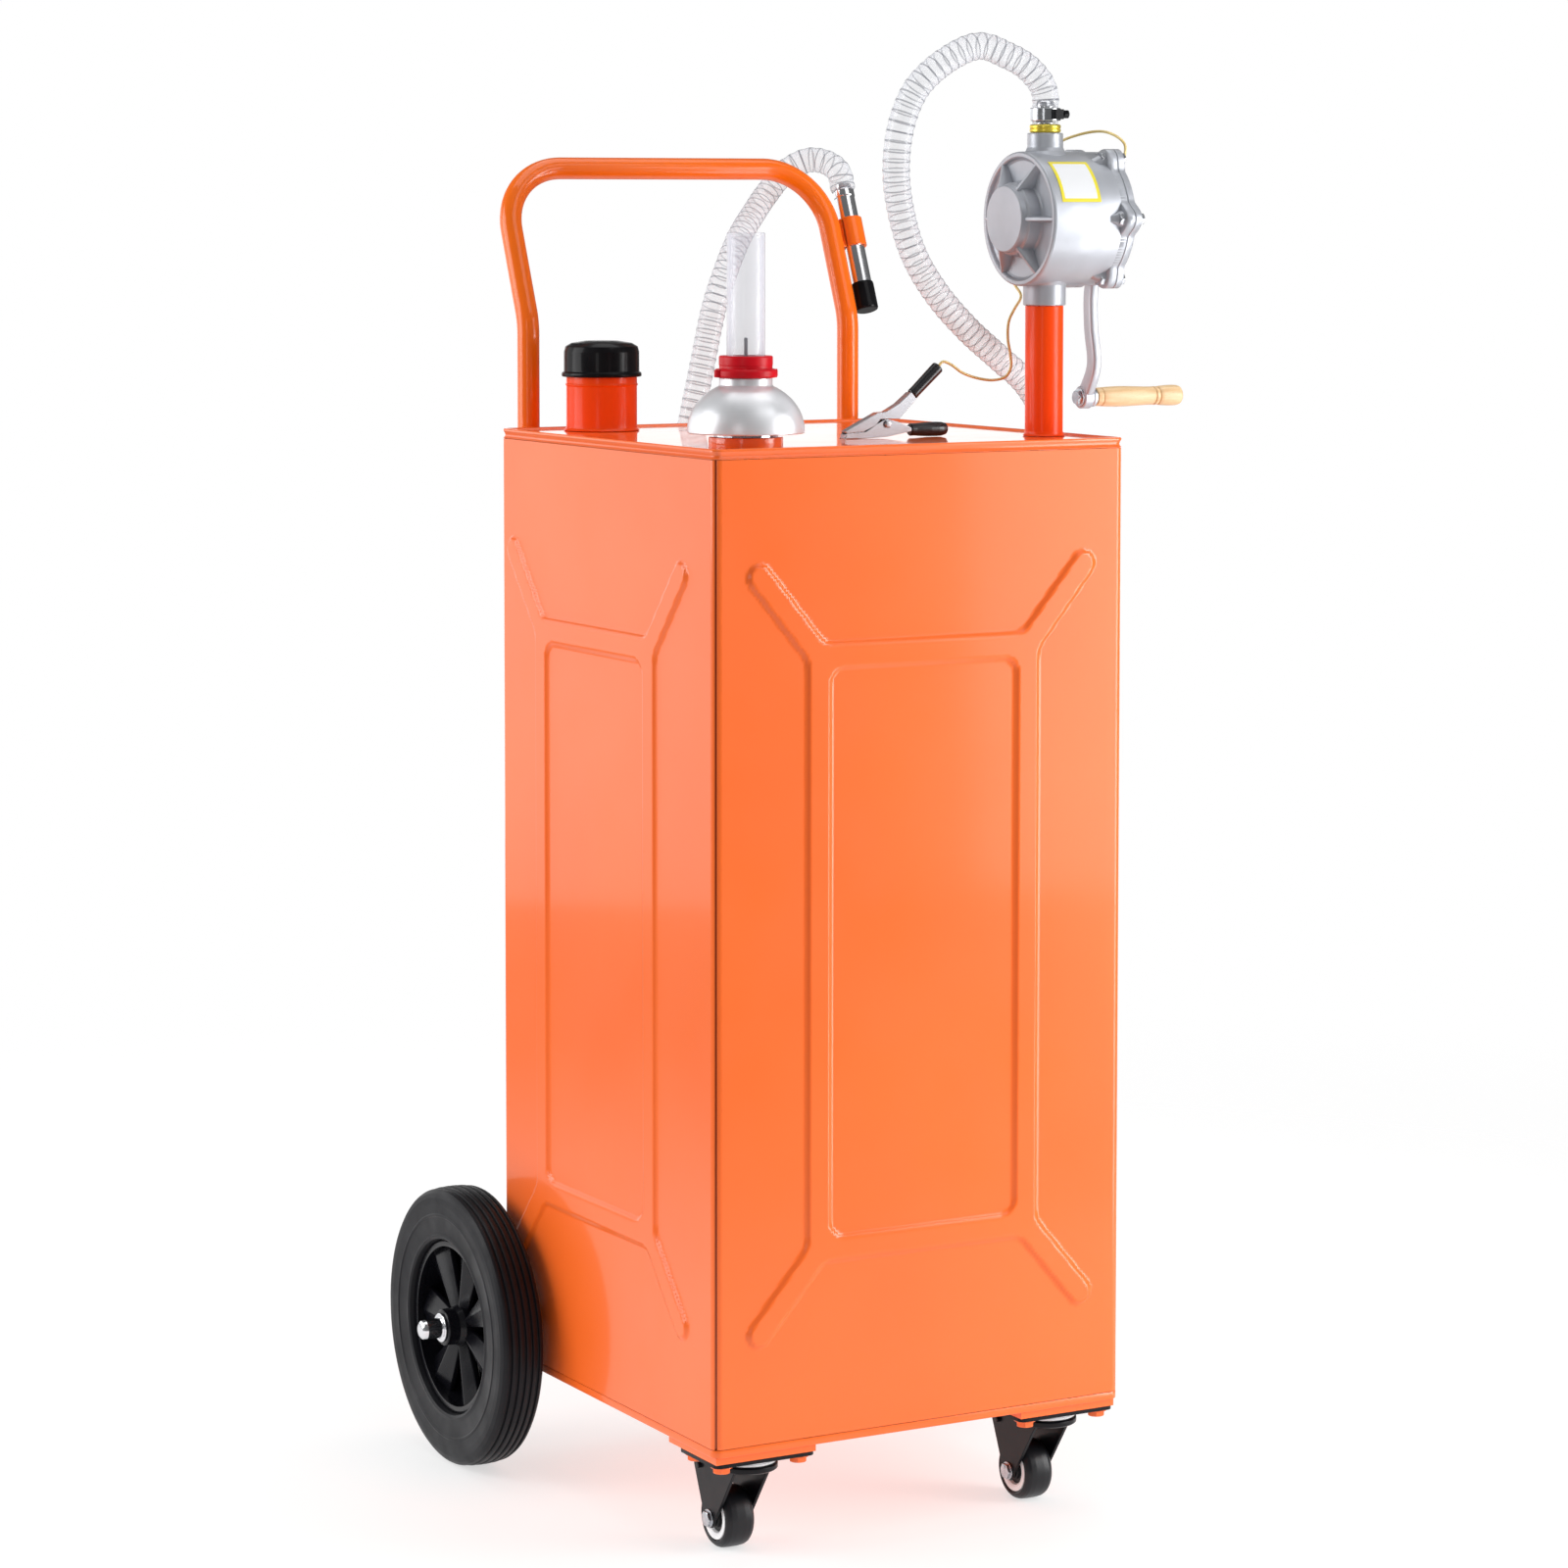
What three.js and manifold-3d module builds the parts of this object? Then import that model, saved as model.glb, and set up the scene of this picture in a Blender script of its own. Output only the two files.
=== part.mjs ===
// A wheeled steel fuel tank with a hand pump, a float gauge, a ribbed hose and a push handle.
// Millimetres, +Z up. X runs across the tank, the front faces -Y, and the wheels and handle are at +Y.
import * as THREE from "three";
import { mergeVertices } from "three/addons/utils/BufferGeometryUtils.js";
import Module from "manifold-3d";

const wasm = await Module();
wasm.setup();

// Sizes shared by all pieces
const seat = 0.3; // air between two pieces that touch
const overrun = 1; // how far a cut runs past the face that it opens
const weld = 1e-4; // corners this close are one corner
const roundSides = 20;
const smallSides = 8;
const right = Math.PI / 2;

// Tank sheet, its two folded plates and the ground clearance
const tankWidth = 400;
const tankDepth = 400;
const tankHeight = 835;
const sheet = 2;
const cornerRadius = 8;
const cornerSegments = 3;
const rimHeight = 7;
const groundClearance = 98;

// Pressed pattern of the walls: an upright ring with four arms
const ribWidth = 26;
const ribHeight = 3;
const ribSlope = 5;
const ringSideInset = 85.5;
const ringTopInset = 159;
const ringBottom = 152;
const ringInnerRadius = 8;
const armSideInset = 42.5;
const armTopInset = 105;
const armBottom = 100;
const sidePatternShift = 15;
const ringHalfWidth = tankWidth / 2 - ringSideInset;
const ringTop = tankHeight - ringTopInset;
const armReach = tankWidth / 2 - armSideInset;
const armTop = tankHeight - armTopInset;

// Filler neck and its lift-off cap
const fillerSideInset = 77;
const fillerRearInset = 48;
const fillerX = fillerSideInset - tankWidth / 2;
const fillerY = tankDepth / 2 - fillerRearInset;
const neckRadius = 31.5;
const neckWall = 2.5;
const neckHeight = 72;
const neckShownHeight = 48;
const neckBeadGap = 7;
const neckBead = 1;
const capWall = 1.8;
const capFlange = 2.2;
const capFlangeHeight = 3.5;
const capCrownHeight = 6;

// Float gauge
const gaugeSideInset = 62;
const gaugeFrontInset = 59;
const gaugeX = gaugeSideInset - tankWidth / 2;
const gaugeY = gaugeFrontInset - tankDepth / 2;
const bossRadius = 31;
const bossHeight = 8;
const bossBore = 20;
const headFlangeRadius = 27;
const headFlangeThickness = 2.5;
const domeRadius = 49;
const domeHeight = 39;
const domeBore = 17;
const domeNeckRadius = 23;
const domeNeckHeight = 7;
const collarFlangeRadius = 26.5;
const collarFlangeHeight = 7;
const collarRadius = 22.5;
const collarHeight = 11;
const collarLugRadius = 3.2;
const sightRadius = 16;
const sightWall = 1.6;
const sightShownHeight = 102;
const sightTop = 2.5;
const indicatorRadius = 1.6;
const indicatorShownHeight = 15;
const indicatorTail = 100;
const stemWidth = 14;
const stemThickness = 4;
const stemOffset = 10;
const floatPivotDrop = 418;
const floatPivotHeight = tankHeight - floatPivotDrop;
const pivotPinRadius = 2.5;
const pivotPinLength = 12;
const floatArmLength = 300;
const floatArmRadius = 3;
const floatArmRest = -50 * THREE.MathUtils.DEG2RAD;
const floatRadius = 22;
const floatLength = 60;
const floatEyeRadius = 7;
const floatEyeWidth = 6;

// Pump column, suction pipe and strainer
const columnSideInset = 30;
const columnFrontInset = 82;
const columnX = tankWidth / 2 - columnSideInset;
const columnY = columnFrontInset - tankDepth / 2;
const columnRadius = 16.5;
const columnWall = 2.5;
const columnHeight = 113;
const suctionRadius = 12;
const suctionWall = 1.5;
const suctionFloorGap = 25;
const suctionEntry = 12;
const strainerRadius = 15;
const strainerHeight = 40;
const strainerSlots = 6;
const strainerSlotWidth = 4;

// Rotary pump, its axis along X, measured from the column's centre line
const pumpAxisHeight = 188;
const drumRadius = 58;
const drumFront = -27;
const drumBack = 49;
const drumRimWidth = 5;
const drumRecess = 4;
const drumWebThickness = 4;
const chamberRadius = 48;
const chamberOffset = 6;
const hubRadius = 28.8;
const hubProud = 15;
const ribCount = 6;
const drumRibThickness = 4;
const lugRadius = 8;
const lugCircle = 60;
const lugThickness = 8;
const boltHeadRadius = 5.5;
const boltHeadHeight = 4.5;
const inletRadius = 18.5;
const inletDrop = 75;
const outletRadius = 15.5;
const outletRise = 74;
const outletBore = 9;
const coverThickness = 7;
const coverDome = 5;
const coverDomeRadius = 34;
const glandRadius = 15;
const glandLength = 3;
const shaftRadius = 7;
const shaftNutRadius = 11;
const shaftNutHeight = 6;
const rotorRadius = 36;
const vaneReach = 41.5;
const vaneWidth = 6;
const vaneDepth = 16;
const rotorEndGap = 0.5;

// Crank arm, its eye and the wooden grip
const armStandoff = 1;
const armThickness = 10;
const armWidth = 13;
const armHubRadius = 14;
const armEyeRadius = 10;
const crankThrow = 163.4;
const crankLag = 43.5;
const armBowShares = [[0, 0], [0.13, 0.19], [0.205, 0.38], [0.205, 0.58], [0.175, 0.79], [0.266, 0.964]];
const gripBoltRadius = 4;
const gripBoltHead = 6.5;
const gripBoltHeadHeight = 4.2;
const gripWasherRadius = 8;
const gripWasher = 5;
const gripLength = 91;
const gripRadius = 9.2;
const gripEndRadius = 7.4;
const gripGroove = 0.7;
const gripGrooveWidth = 2.4;
const gripGrooveShares = [0.07, 0.68, 0.73];

// Outlet ring, hose and hose clamp
const ringRadius = 13.5;
const ringHeight = 7;
const barbRadius = 7.8;
const barbLength = 20;
const spoutBarb = 5;
const hoseRadius = 12;
const hoseRibDepth = 0.8;
const hoseStraight = 24;
const spoutStraight = 16;
const hoseBore = 9;
const hoseRibs = 120;
const hoseSides = 8;
const boreStep = 5;
const fineRibs = 15;
const bandHeight = 11;
const bandLift = 3;
const bandThickness = 1;
const bandScrewRadius = 3.5;
const bandScrewLength = 13;

// Spout, its cap and its clip on the handle
const spoutRadius = 9.3;
const spoutWall = 1.5;
const spoutLength = 114;
const spoutCapRadius = 10.8;
const spoutCapLength = 27;
const spoutCapInsert = 20;
const spoutLegGap = 22.7;
const spoutTopAlong = 128;
const clipAlong = 84;
const clipWidth = 28;
const clipWall = 2.2;
const clipTabThickness = 4;
const clipTabHeight = 12;

// Push handle: two legs bolted to the rear wall, which lean back above the tank
const handleRadius = 10;
const handleSides = 12;
const handleSideInset = 34.7;
const handleHalfWidth = tankWidth / 2 - handleSideInset;
const handleStandoff = 0.4;
const handleReach = 315;
const handleFoot = tankHeight - handleReach;
const handleStraight = 95;
const handleLean = 22 * THREE.MathUtils.DEG2RAD;
const handleLeanLength = 149;
const handleKneeRadius = 60;
const handleCornerRadius = 60;
const spoutX = handleHalfWidth + spoutLegGap;
const saddleHeight = 26;
const saddleWall = 4;
const saddleFlange = 14;
const saddleDrops = [275, 180];
const saddleHeights = saddleDrops.map((drop) => tankHeight - drop);
const saddleBoltRadius = 5;

// Rear wheels and axle
const wheelRadius = 125;
const tyreWidth = 42;
const tyreShoulder = 6;
const tyreInnerRadius = 78;
const rimWidth = 34;
const rimBand = 6;
const rimWebThickness = 3;
const wheelHubRadius = 22;
const wheelHubWidth = 46;
const spokeCount = 7;
const spokeRootShare = 0.24;
const spokeTipShare = 0.66;
const spokeThickness = 12;
const axleRadius = 8;
const axleRun = 0.4;
const axleStandoff = 12;
const wheelSideGap = 12;
const axleCapRadius = 9;
const axleCapLength = 20;
const washerRadius = 13;
const washerThickness = 2;
const bracketThickness = 5;
const bracketInset = 22;
const bracketHeight = 60;
const bracketLip = 6;

// Front swivel casters
const casterSideInset = 51;
const casterFrontInset = 37;
const casterX = tankWidth / 2 - casterSideInset;
const casterY = casterFrontInset - tankDepth / 2;
const padWidth = 95;
const padDepth = 84;
const padThickness = 6;
const plateWidth = 95;
const plateDepth = 67;
const plateThickness = 3;
const boltSpacingX = 73;
const boltSpacingY = 45;
const casterBoltRadius = 4;
const casterHeadRadius = 8;
const casterHeadHeight = 6;
const raceRadius = 25;
const raceHeight = 6;
const raceBore = 6;
const kingpinRadius = 5.5;
const forkCrownRadius = 26;
const forkCrownHeight = 6;
const casterWheelRadius = 26;
const casterWheelWidth = 24;
const casterTrail = 34;
const forkGap = 3;
const forkWall = 3;
const forkLegWidth = 22;
const casterPinRadius = 4;
const casterPinHead = 7;
const casterPinHeadHeight = 4;
const pedalWidth = 20;
const pedalThickness = 3;
const pedalReach = 46;
const pedalPivotBack = 50;
const pedalPivotDrop = 8;
const pedalRise = 11;
const shoeDrop = 14;
const shoeWidth = 16;
const pedalPinRadius = 2.5;
const pedalLipRadius = 4;

// Ground wire and its spring clamp, which lies on the tank top
const wireRadius = 1.25;
const wireSides = 8;
const wireLead = 6;
const wireSteps = 48;
const clampNoseX = -10;
const clampPivotX = 32;
const clampY = -80;
const clampPivotHeight = 12;
const clampLength = 104;
const jawWidth = 9;
const jawWall = 1.6;
const lowerGripRadius = 6.2;
const lowerGripLength = 39;
const upperGripRadius = 5.4;
const upperGripLength = 36;
const upperLean = 42 * THREE.MathUtils.DEG2RAD;
const upperHandleLength = 36;
const clampPinRadius = 2;

// Colours and finishes
function finish(color, roughness, metalness) {
  return new THREE.MeshStandardMaterial({ color, roughness, metalness });
}
const orangePaint = finish("#ff6a1a", 0.35, 0.1);
const castAluminium = finish("#b9bdc2", 0.45, 0.9);
const spunAluminium = finish("#c9ccd1", 0.3, 0.95);
const chrome = finish("#dfe3e6", 0.12, 1);
const zinc = finish("#d5d8da", 0.35, 0.9);
const steel = finish("#8d9196", 0.4, 0.9);
const redPlastic = finish("#e0112b", 0.4, 0);
const blackPlastic = finish("#1c1d1f", 0.45, 0);
const blackRubber = finish("#23262b", 0.7, 0);
const blackSteel = finish("#26282c", 0.45, 0.4);
const foam = finish("#3a3a3c", 0.9, 0);
const nylon = finish("#e9e6dc", 0.5, 0);
const brass = finish("#d9b93a", 0.35, 0.8);
const beech = finish("#e3bd85", 0.6, 0);
const wireJacket = finish("#d8b65a", 0.5, 0);
const clearPlastic = finish("#eef0f4", 0.1, 0);
clearPlastic.transparent = true;
clearPlastic.opacity = 0.4;

// A closed geometry as a solid that can be joined and cut, always with its faces outwards
function solid(geometry) {
  const bare = geometry.clone();
  bare.deleteAttribute("normal");
  bare.deleteAttribute("uv");
  const merged = mergeVertices(bare, weld);
  const corners = merged.index.array;
  const kept = [];
  for (let i = 0; i < corners.length; i += 3) {
    const [a, b, c] = [corners[i], corners[i + 1], corners[i + 2]];
    if (a !== b && b !== c && a !== c) kept.push(a, b, c);
  }
  const make = (order) =>
    new wasm.Manifold(
      new wasm.Mesh({
        numProp: 3,
        vertProperties: merged.attributes.position.array,
        triVerts: new Uint32Array(order),
      }),
    );
  const made = make(kept);
  return made.volume() < 0 ? make(kept.reverse()) : made;
}

// All solids of a list as one
function join(list) {
  return list.reduce((sum, part) => sum.add(part));
}

// A solid with all solids of a list cut out
function cut(body, list) {
  return list.reduce((left, part) => left.subtract(part), body);
}

// A solid back as a three.js geometry
function geometryOf(made) {
  const mesh = made.getMesh();
  const places = new Float32Array(mesh.numVert * mesh.numProp);
  places.set(mesh.vertProperties);
  return new THREE.BufferGeometry()
    .setAttribute("position", new THREE.BufferAttribute(places, mesh.numProp))
    .setIndex(new THREE.BufferAttribute(mesh.triVerts.slice(), 1));
}

// Turns a geometry built along +Z so that it lies along another axis
function along(axis, geometry) {
  if (axis === "x") return geometry.rotateX(right).rotateZ(right);
  if (axis === "y") return geometry.rotateZ(-right).rotateX(-right);
  return geometry;
}

// A round bar from start to end along an axis; place is its centre line across that axis
function bar(axis, radius, start, end, place = [0, 0], sides = roundSides) {
  const geometry = new THREE.CylinderGeometry(radius, radius, end - start, sides)
    .rotateX(right)
    .translate(place[0], place[1], (start + end) / 2);
  return solid(along(axis, geometry));
}

// A turned piece: a profile of [radius, height] pairs, closed on the axis or on itself
function turned(axis, profile, place = [0, 0], sides = roundSides) {
  const points = profile.map(([r, h]) => new THREE.Vector2(r, h));
  const geometry = new THREE.LatheGeometry(points, sides)
    .rotateX(right)
    .translate(place[0], place[1], 0);
  return solid(along(axis, geometry));
}

// The wall of a turned tube, from start to end
function pipe(axis, outer, inner, start, end, place = [0, 0], sides = roundSides) {
  const profile = [[inner, start], [outer, start], [outer, end], [inner, end], [inner, start]];
  return turned(axis, profile, place, sides);
}

// A block between two corners
function block(low, high) {
  const size = high.map((value, i) => value - low[i]);
  const middle = high.map((value, i) => (value + low[i]) / 2);
  return solid(new THREE.BoxGeometry(...size).translate(...middle));
}

// A flat outline pushed from start to end along an axis; the outline lies across that axis
function slab(axis, shape, start, end, segments = cornerSegments) {
  const options = { depth: end - start, bevelEnabled: false, curveSegments: segments };
  return solid(along(axis, new THREE.ExtrudeGeometry(shape, options).translate(0, 0, start)));
}

// A straight-sided outline through [x, y] pairs
function outline(points) {
  return new THREE.Shape(points.map(([x, y]) => new THREE.Vector2(x, y)));
}

// A rectangle with round corners, centred on the origin
function roundedRectangle(width, height, radius) {
  const x = width / 2 - radius;
  const y = height / 2 - radius;
  const shape = new THREE.Shape();
  shape.absarc(x, y, radius, 0, right, false);
  shape.absarc(-x, y, radius, right, 2 * right, false);
  shape.absarc(-x, -y, radius, 2 * right, 3 * right, false);
  shape.absarc(x, -y, radius, 3 * right, 4 * right, false);
  return shape;
}

// A hexagon bar along X, its flats worked out from the circle round its corners
function hexagon(radius, start, end, place) {
  return bar("x", radius, start, end, place, 6);
}

// A group at a place, inside another group
function groupAt(parent, x, y, z) {
  const group = new THREE.Group();
  group.position.set(x, y, z);
  parent.add(group);
  return group;
}

// One named piece of the model
function piece(parent, name, made, material) {
  const mesh = new THREE.Mesh(geometryOf(made), material);
  mesh.name = name;
  parent.add(mesh);
  return mesh;
}

// A smooth or straight run of points carried round with a many-sided section of changing radius
function sweep(centres, tangents, radii, sides) {
  const rings = [];
  const across = new THREE.Vector3(0, 1, 0);
  if (Math.abs(tangents[0].y) > Math.SQRT1_2) across.set(1, 0, 0);
  const side = across.cross(tangents[0]).normalize();
  centres.forEach((centre, i) => {
    side.addScaledVector(tangents[i], -side.dot(tangents[i])).normalize();
    const other = new THREE.Vector3().crossVectors(tangents[i], side);
    const ring = [];
    for (let k = 0; k < sides; k++) {
      const turn = (2 * Math.PI * k) / sides;
      ring.push(
        centre
          .clone()
          .addScaledVector(side, radii[i] * Math.cos(turn))
          .addScaledVector(other, radii[i] * Math.sin(turn)),
      );
    }
    rings.push(ring);
  });
  return rings;
}

// Wall between two neighbouring rings of points, as triangles
function band(places, from, to) {
  from.forEach((a, k) => {
    const next = (k + 1) % from.length;
    places.push(a, from[next], to[next], a, to[next], to[k]);
  });
}

// A solid round bar along a list of points, as one tube of few sides
function wire(points, radius, steps, sides) {
  const section = new THREE.Shape();
  for (let k = 0; k < sides; k++) {
    const turn = (2 * Math.PI * k) / sides;
    const spot = [radius * Math.cos(turn), radius * Math.sin(turn)];
    if (k === 0) section.moveTo(...spot);
    else section.lineTo(...spot);
  }
  const spots = points.map((p) => new THREE.Vector3(...p));
  const path = new THREE.CatmullRomCurve3(spots, false, "centripetal");
  return solid(new THREE.ExtrudeGeometry(section, { steps, extrudePath: path, curveSegments: 1 }));
}

// One wall of the tank: a bent sheet across the face, with its pressed pattern
// width is the face's own, offset is its distance from the tank's middle, shift moves the pattern across
function wall(width, offset, shift) {
  const x = width / 2 - cornerRadius;
  const y = -(offset - cornerRadius);
  const seam = seat / 2 / (cornerRadius - sheet);
  const inner = cornerRadius - sheet;
  const shape = new THREE.Shape();
  shape.absarc(-x, y, cornerRadius, 2.5 * right + seam, 3 * right, false);
  shape.absarc(x, y, cornerRadius, 3 * right, 3.5 * right - seam, false);
  shape.absarc(x, y, inner, 3.5 * right - seam, 3 * right, true);
  shape.absarc(-x, y, inner, 3 * right, 2.5 * right + seam, true);
  const panel = slab("z", shape, rimHeight + seat, tankHeight - rimHeight - seat);
  return panel.add(pattern(offset, shift));
}

// The pressed pattern of one wall, standing proud of the sheet by the rib height
function pattern(offset, shift) {
  const frame = outline([
    [-ringHalfWidth, ringBottom],
    [ringHalfWidth, ringBottom],
    [ringHalfWidth, ringTop],
    [-ringHalfWidth, ringTop],
  ]);
  const innerWidth = 2 * (ringHalfWidth - ribWidth);
  const innerHeight = ringTop - ringBottom - 2 * ribWidth;
  const hole = roundedRectangle(innerWidth, innerHeight, ringInnerRadius);
  const middle = (ringTop + ringBottom) / 2;
  frame.holes.push(new THREE.Path(hole.getPoints(cornerSegments).map((p) => p.setY(p.y + middle))));
  const shapes = [frame];
  for (const side of [-1, 1]) {
    shapes.push(armOutline(side, ringTop - ribWidth / 2, armTop));
    shapes.push(armOutline(side, ringBottom + ribWidth / 2, armBottom));
  }
  const raised = join(shapes.map((shape) => pressed(shape, offset, shift)));
  const reach = armReach + ribWidth;
  const low = [shift - reach, -(offset + ribHeight + overrun), armBottom - ribWidth];
  const high = [shift + reach, -(offset - sheet / 2), armTop + ribWidth];
  return raised.intersect(block(low, high));
}

// One arm of the pattern, from the middle of a ring corner to its round end
function armOutline(side, rootHeight, endHeight) {
  const rootX = side * (ringHalfWidth - ribWidth / 2);
  const endX = side * armReach;
  const turn = Math.atan2(endHeight - rootHeight, endX - rootX);
  const shape = new THREE.Shape();
  shape.absarc(endX, endHeight, ribWidth / 2, turn - right, turn + right, false);
  shape.absarc(rootX, rootHeight, ribWidth / 2, turn + right, turn + 3 * right, false);
  return shape;
}

// A flat outline raised from the wall with sloping sides
function pressed(shape, offset, shift) {
  const geometry = new THREE.ExtrudeGeometry(shape, {
    depth: sheet / 2,
    bevelThickness: ribHeight,
    bevelSize: ribSlope,
    bevelOffset: -ribSlope,
    bevelSegments: 1,
    curveSegments: 2 * cornerSegments,
  });
  geometry.translate(shift, 0, -sheet / 2).rotateX(right).translate(0, -offset, 0);
  return solid(geometry);
}

// The folded top or bottom plate: a shallow tray with its rim turned towards the walls
function tray(rimStart, rimEnd, plateStart, plateEnd) {
  const outer = roundedRectangle(tankWidth, tankDepth, cornerRadius);
  const inside = roundedRectangle(tankWidth - 2 * sheet, tankDepth - 2 * sheet, cornerRadius - sheet);
  const low = Math.min(rimStart, plateStart);
  const high = Math.max(rimEnd, plateEnd);
  const full = slab("z", outer, low, high);
  const openEnd = rimStart < plateStart ? low - overrun : plateEnd;
  const closedEnd = rimStart < plateStart ? plateStart : high + overrun;
  return full.subtract(slab("z", inside, openEnd, closedEnd));
}

// The whole part, and the tank's own group with its bottom plate at height zero
const fuelCaddy = new THREE.Group();
const tank = groupAt(fuelCaddy, 0, 0, groundClearance);
const deck = groupAt(tank, 0, 0, tankHeight);

// Four walls; the side walls carry their pattern a little nearer the rear
function addWalls() {
  const faces = [
    ["front_wall", 0, tankWidth, tankDepth / 2, 0],
    ["rear_wall", 2 * right, tankWidth, tankDepth / 2, 0],
    ["left_wall", -right, tankDepth, tankWidth / 2, -sidePatternShift],
    ["right_wall", right, tankDepth, tankWidth / 2, sidePatternShift],
  ];
  for (const [name, turn, width, offset, shift] of faces) {
    piece(tank, name, wall(width, offset, shift), orangePaint).rotation.z = turn;
  }
}

// Top plate with the gauge boss welded on and holes under the neck, the boss and the column
function addPlates() {
  const top = tray(tankHeight - rimHeight, tankHeight, tankHeight - sheet, tankHeight);
  const boss = bar("z", bossRadius, tankHeight - sheet / 2, tankHeight + bossHeight, [gaugeX, gaugeY]);
  const low = tankHeight - sheet - overrun;
  const high = tankHeight + bossHeight + overrun;
  const holes = [
    bar("z", neckRadius - neckWall, low, high, [fillerX, fillerY]),
    bar("z", bossBore, low, high, [gaugeX, gaugeY]),
    bar("z", columnRadius - columnWall, low, high, [columnX, columnY]),
  ];
  piece(tank, "top_plate", cut(top.add(boss), holes), orangePaint);
  piece(tank, "bottom_plate", tray(0, rimHeight, 0, sheet), orangePaint);
}

// Filler neck with its bead, and the domed cap that lifts off it
function addFiller() {
  const inner = neckRadius - neckWall;
  const bead = neckShownHeight - neckBeadGap;
  const neck = [
    [inner, seat],
    [neckRadius, seat],
    [neckRadius, bead - neckBead],
    [neckRadius + neckBead, bead],
    [neckRadius, bead + neckBead],
    [neckRadius, neckHeight],
    [inner, neckHeight],
    [inner, seat],
  ];
  piece(deck, "filler_neck", turned("z", neck, [fillerX, fillerY]), orangePaint);
  const bore = neckRadius + seat;
  const outer = bore + capWall;
  const ceiling = neckHeight + seat;
  const crown = ceiling + capWall + capCrownHeight;
  const cap = [
    [0, ceiling],
    [bore, ceiling],
    [bore, neckShownHeight],
    [outer + capFlange, neckShownHeight],
    [outer + capFlange, neckShownHeight + capFlangeHeight],
    [outer, neckShownHeight + capFlangeHeight],
    [outer, crown - capCrownHeight],
    [outer - capWall, crown - capCrownHeight / 2],
    [outer - 2 * capCrownHeight, crown - capWall / 2],
    [0, crown],
  ];
  piece(deck, "filler_cap", turned("z", cap, [fillerX, fillerY]), blackPlastic);
}

// Gauge head: spun dome, red collar and the clear sight tube over the indicator rod
const headTop = bossHeight + seat + headFlangeThickness;
const domeBase = headTop + seat;
const domeNeckTop = domeBase + domeHeight + domeNeckHeight;
const collarBase = domeNeckTop + seat;
const collarTop = collarBase + collarFlangeHeight + collarHeight;
function addGaugeHead() {
  const place = [gaugeX, gaugeY];
  const dome = [[domeBore, domeBase], [domeRadius, domeBase]];
  const bend = 6;
  for (let k = 0; k <= bend; k++) {
    const turn = (k / bend) * Math.acos(domeNeckRadius / domeRadius);
    const rise = Math.sin(turn) / Math.sqrt(1 - (domeNeckRadius / domeRadius) ** 2);
    dome.push([domeRadius * Math.cos(turn), domeBase + sheet + rise * (domeHeight - sheet)]);
  }
  dome.push([domeNeckRadius, domeNeckTop], [domeBore, domeNeckTop], [domeBore, domeBase]);
  piece(deck, "gauge_dome", turned("z", dome, place), spunAluminium);
  const throat = sightRadius + seat;
  const flangeTop = collarBase + collarFlangeHeight;
  const flange = pipe("z", collarFlangeRadius, throat, collarBase, flangeTop, place);
  const ring = pipe("z", collarRadius, throat, collarBase, collarTop, place);
  const lugs = [-1, 1].map((side) =>
    bar("z", collarLugRadius, collarBase, collarBase + collarFlangeHeight, [
      gaugeX + side * collarFlangeRadius,
      gaugeY,
    ], smallSides),
  );
  piece(deck, "gauge_collar", join([flange, ring, ...lugs]), redPlastic);
  const inner = sightRadius - sightWall;
  const top = collarTop + sightShownHeight;
  const tube = [
    [inner, domeNeckTop + seat],
    [sightRadius, domeNeckTop + seat],
    [sightRadius, top],
    [0, top],
    [0, top - sightTop],
    [inner, top - sightTop],
    [inner, domeNeckTop + seat],
  ];
  piece(deck, "sight_tube", turned("z", tube, place), clearPlastic);
}

// Gauge stem: the flange under the dome, the strap that hangs into the tank, and the float's pivot pin
const pivotX = gaugeX + stemOffset - stemThickness / 2 - seat - floatEyeWidth / 2;
function addGaugeStem() {
  const place = [gaugeX, gaugeY];
  const flange = bar("z", headFlangeRadius, bossHeight + seat, headTop, place);
  const low = floatPivotHeight - tankHeight - stemWidth / 2;
  const strap = block(
    [gaugeX + stemOffset - stemThickness / 2, gaugeY - stemWidth / 2, low],
    [gaugeX + stemOffset + stemThickness / 2, gaugeY + stemWidth / 2, bossHeight + headFlangeThickness],
  );
  const pinEnd = gaugeX + stemOffset;
  const pin = bar("x", pivotPinRadius, pinEnd - pivotPinLength, pinEnd, [
    gaugeY,
    floatPivotHeight - tankHeight,
  ], smallSides);
  const rodHole = bar("z", indicatorRadius + seat, bossHeight, headTop + overrun, place, smallSides);
  piece(deck, "gauge_stem", join([flange, strap, pin]).subtract(rodHole), zinc);
  const top = collarTop + indicatorShownHeight;
  piece(deck, "indicator_rod", bar("z", indicatorRadius, -indicatorTail, top, place, smallSides), blackSteel);
}

// Float arm with its eye on the pivot pin and the foam float at its end; it hangs low in an empty tank
function addFloat() {
  const pivot = groupAt(tank, pivotX, gaugeY, floatPivotHeight);
  pivot.rotation.x = floatArmRest;
  const eye = bar("x", floatEyeRadius, -floatEyeWidth / 2, floatEyeWidth / 2, [0, 0], smallSides);
  const rod = bar("y", floatArmRadius, 0, floatArmLength - floatRadius / 2, [0, 0], smallSides);
  const hole = bar(
    "x",
    pivotPinRadius + seat,
    -floatEyeWidth / 2 - overrun,
    floatEyeWidth / 2 + overrun,
    [0, 0],
    smallSides,
  );
  const body = bar("x", floatRadius, -floatLength / 2, floatLength / 2, [floatArmLength, 0], smallSides);
  piece(pivot, "float_arm", join([eye, rod, body]).subtract(hole), foam);
}

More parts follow.
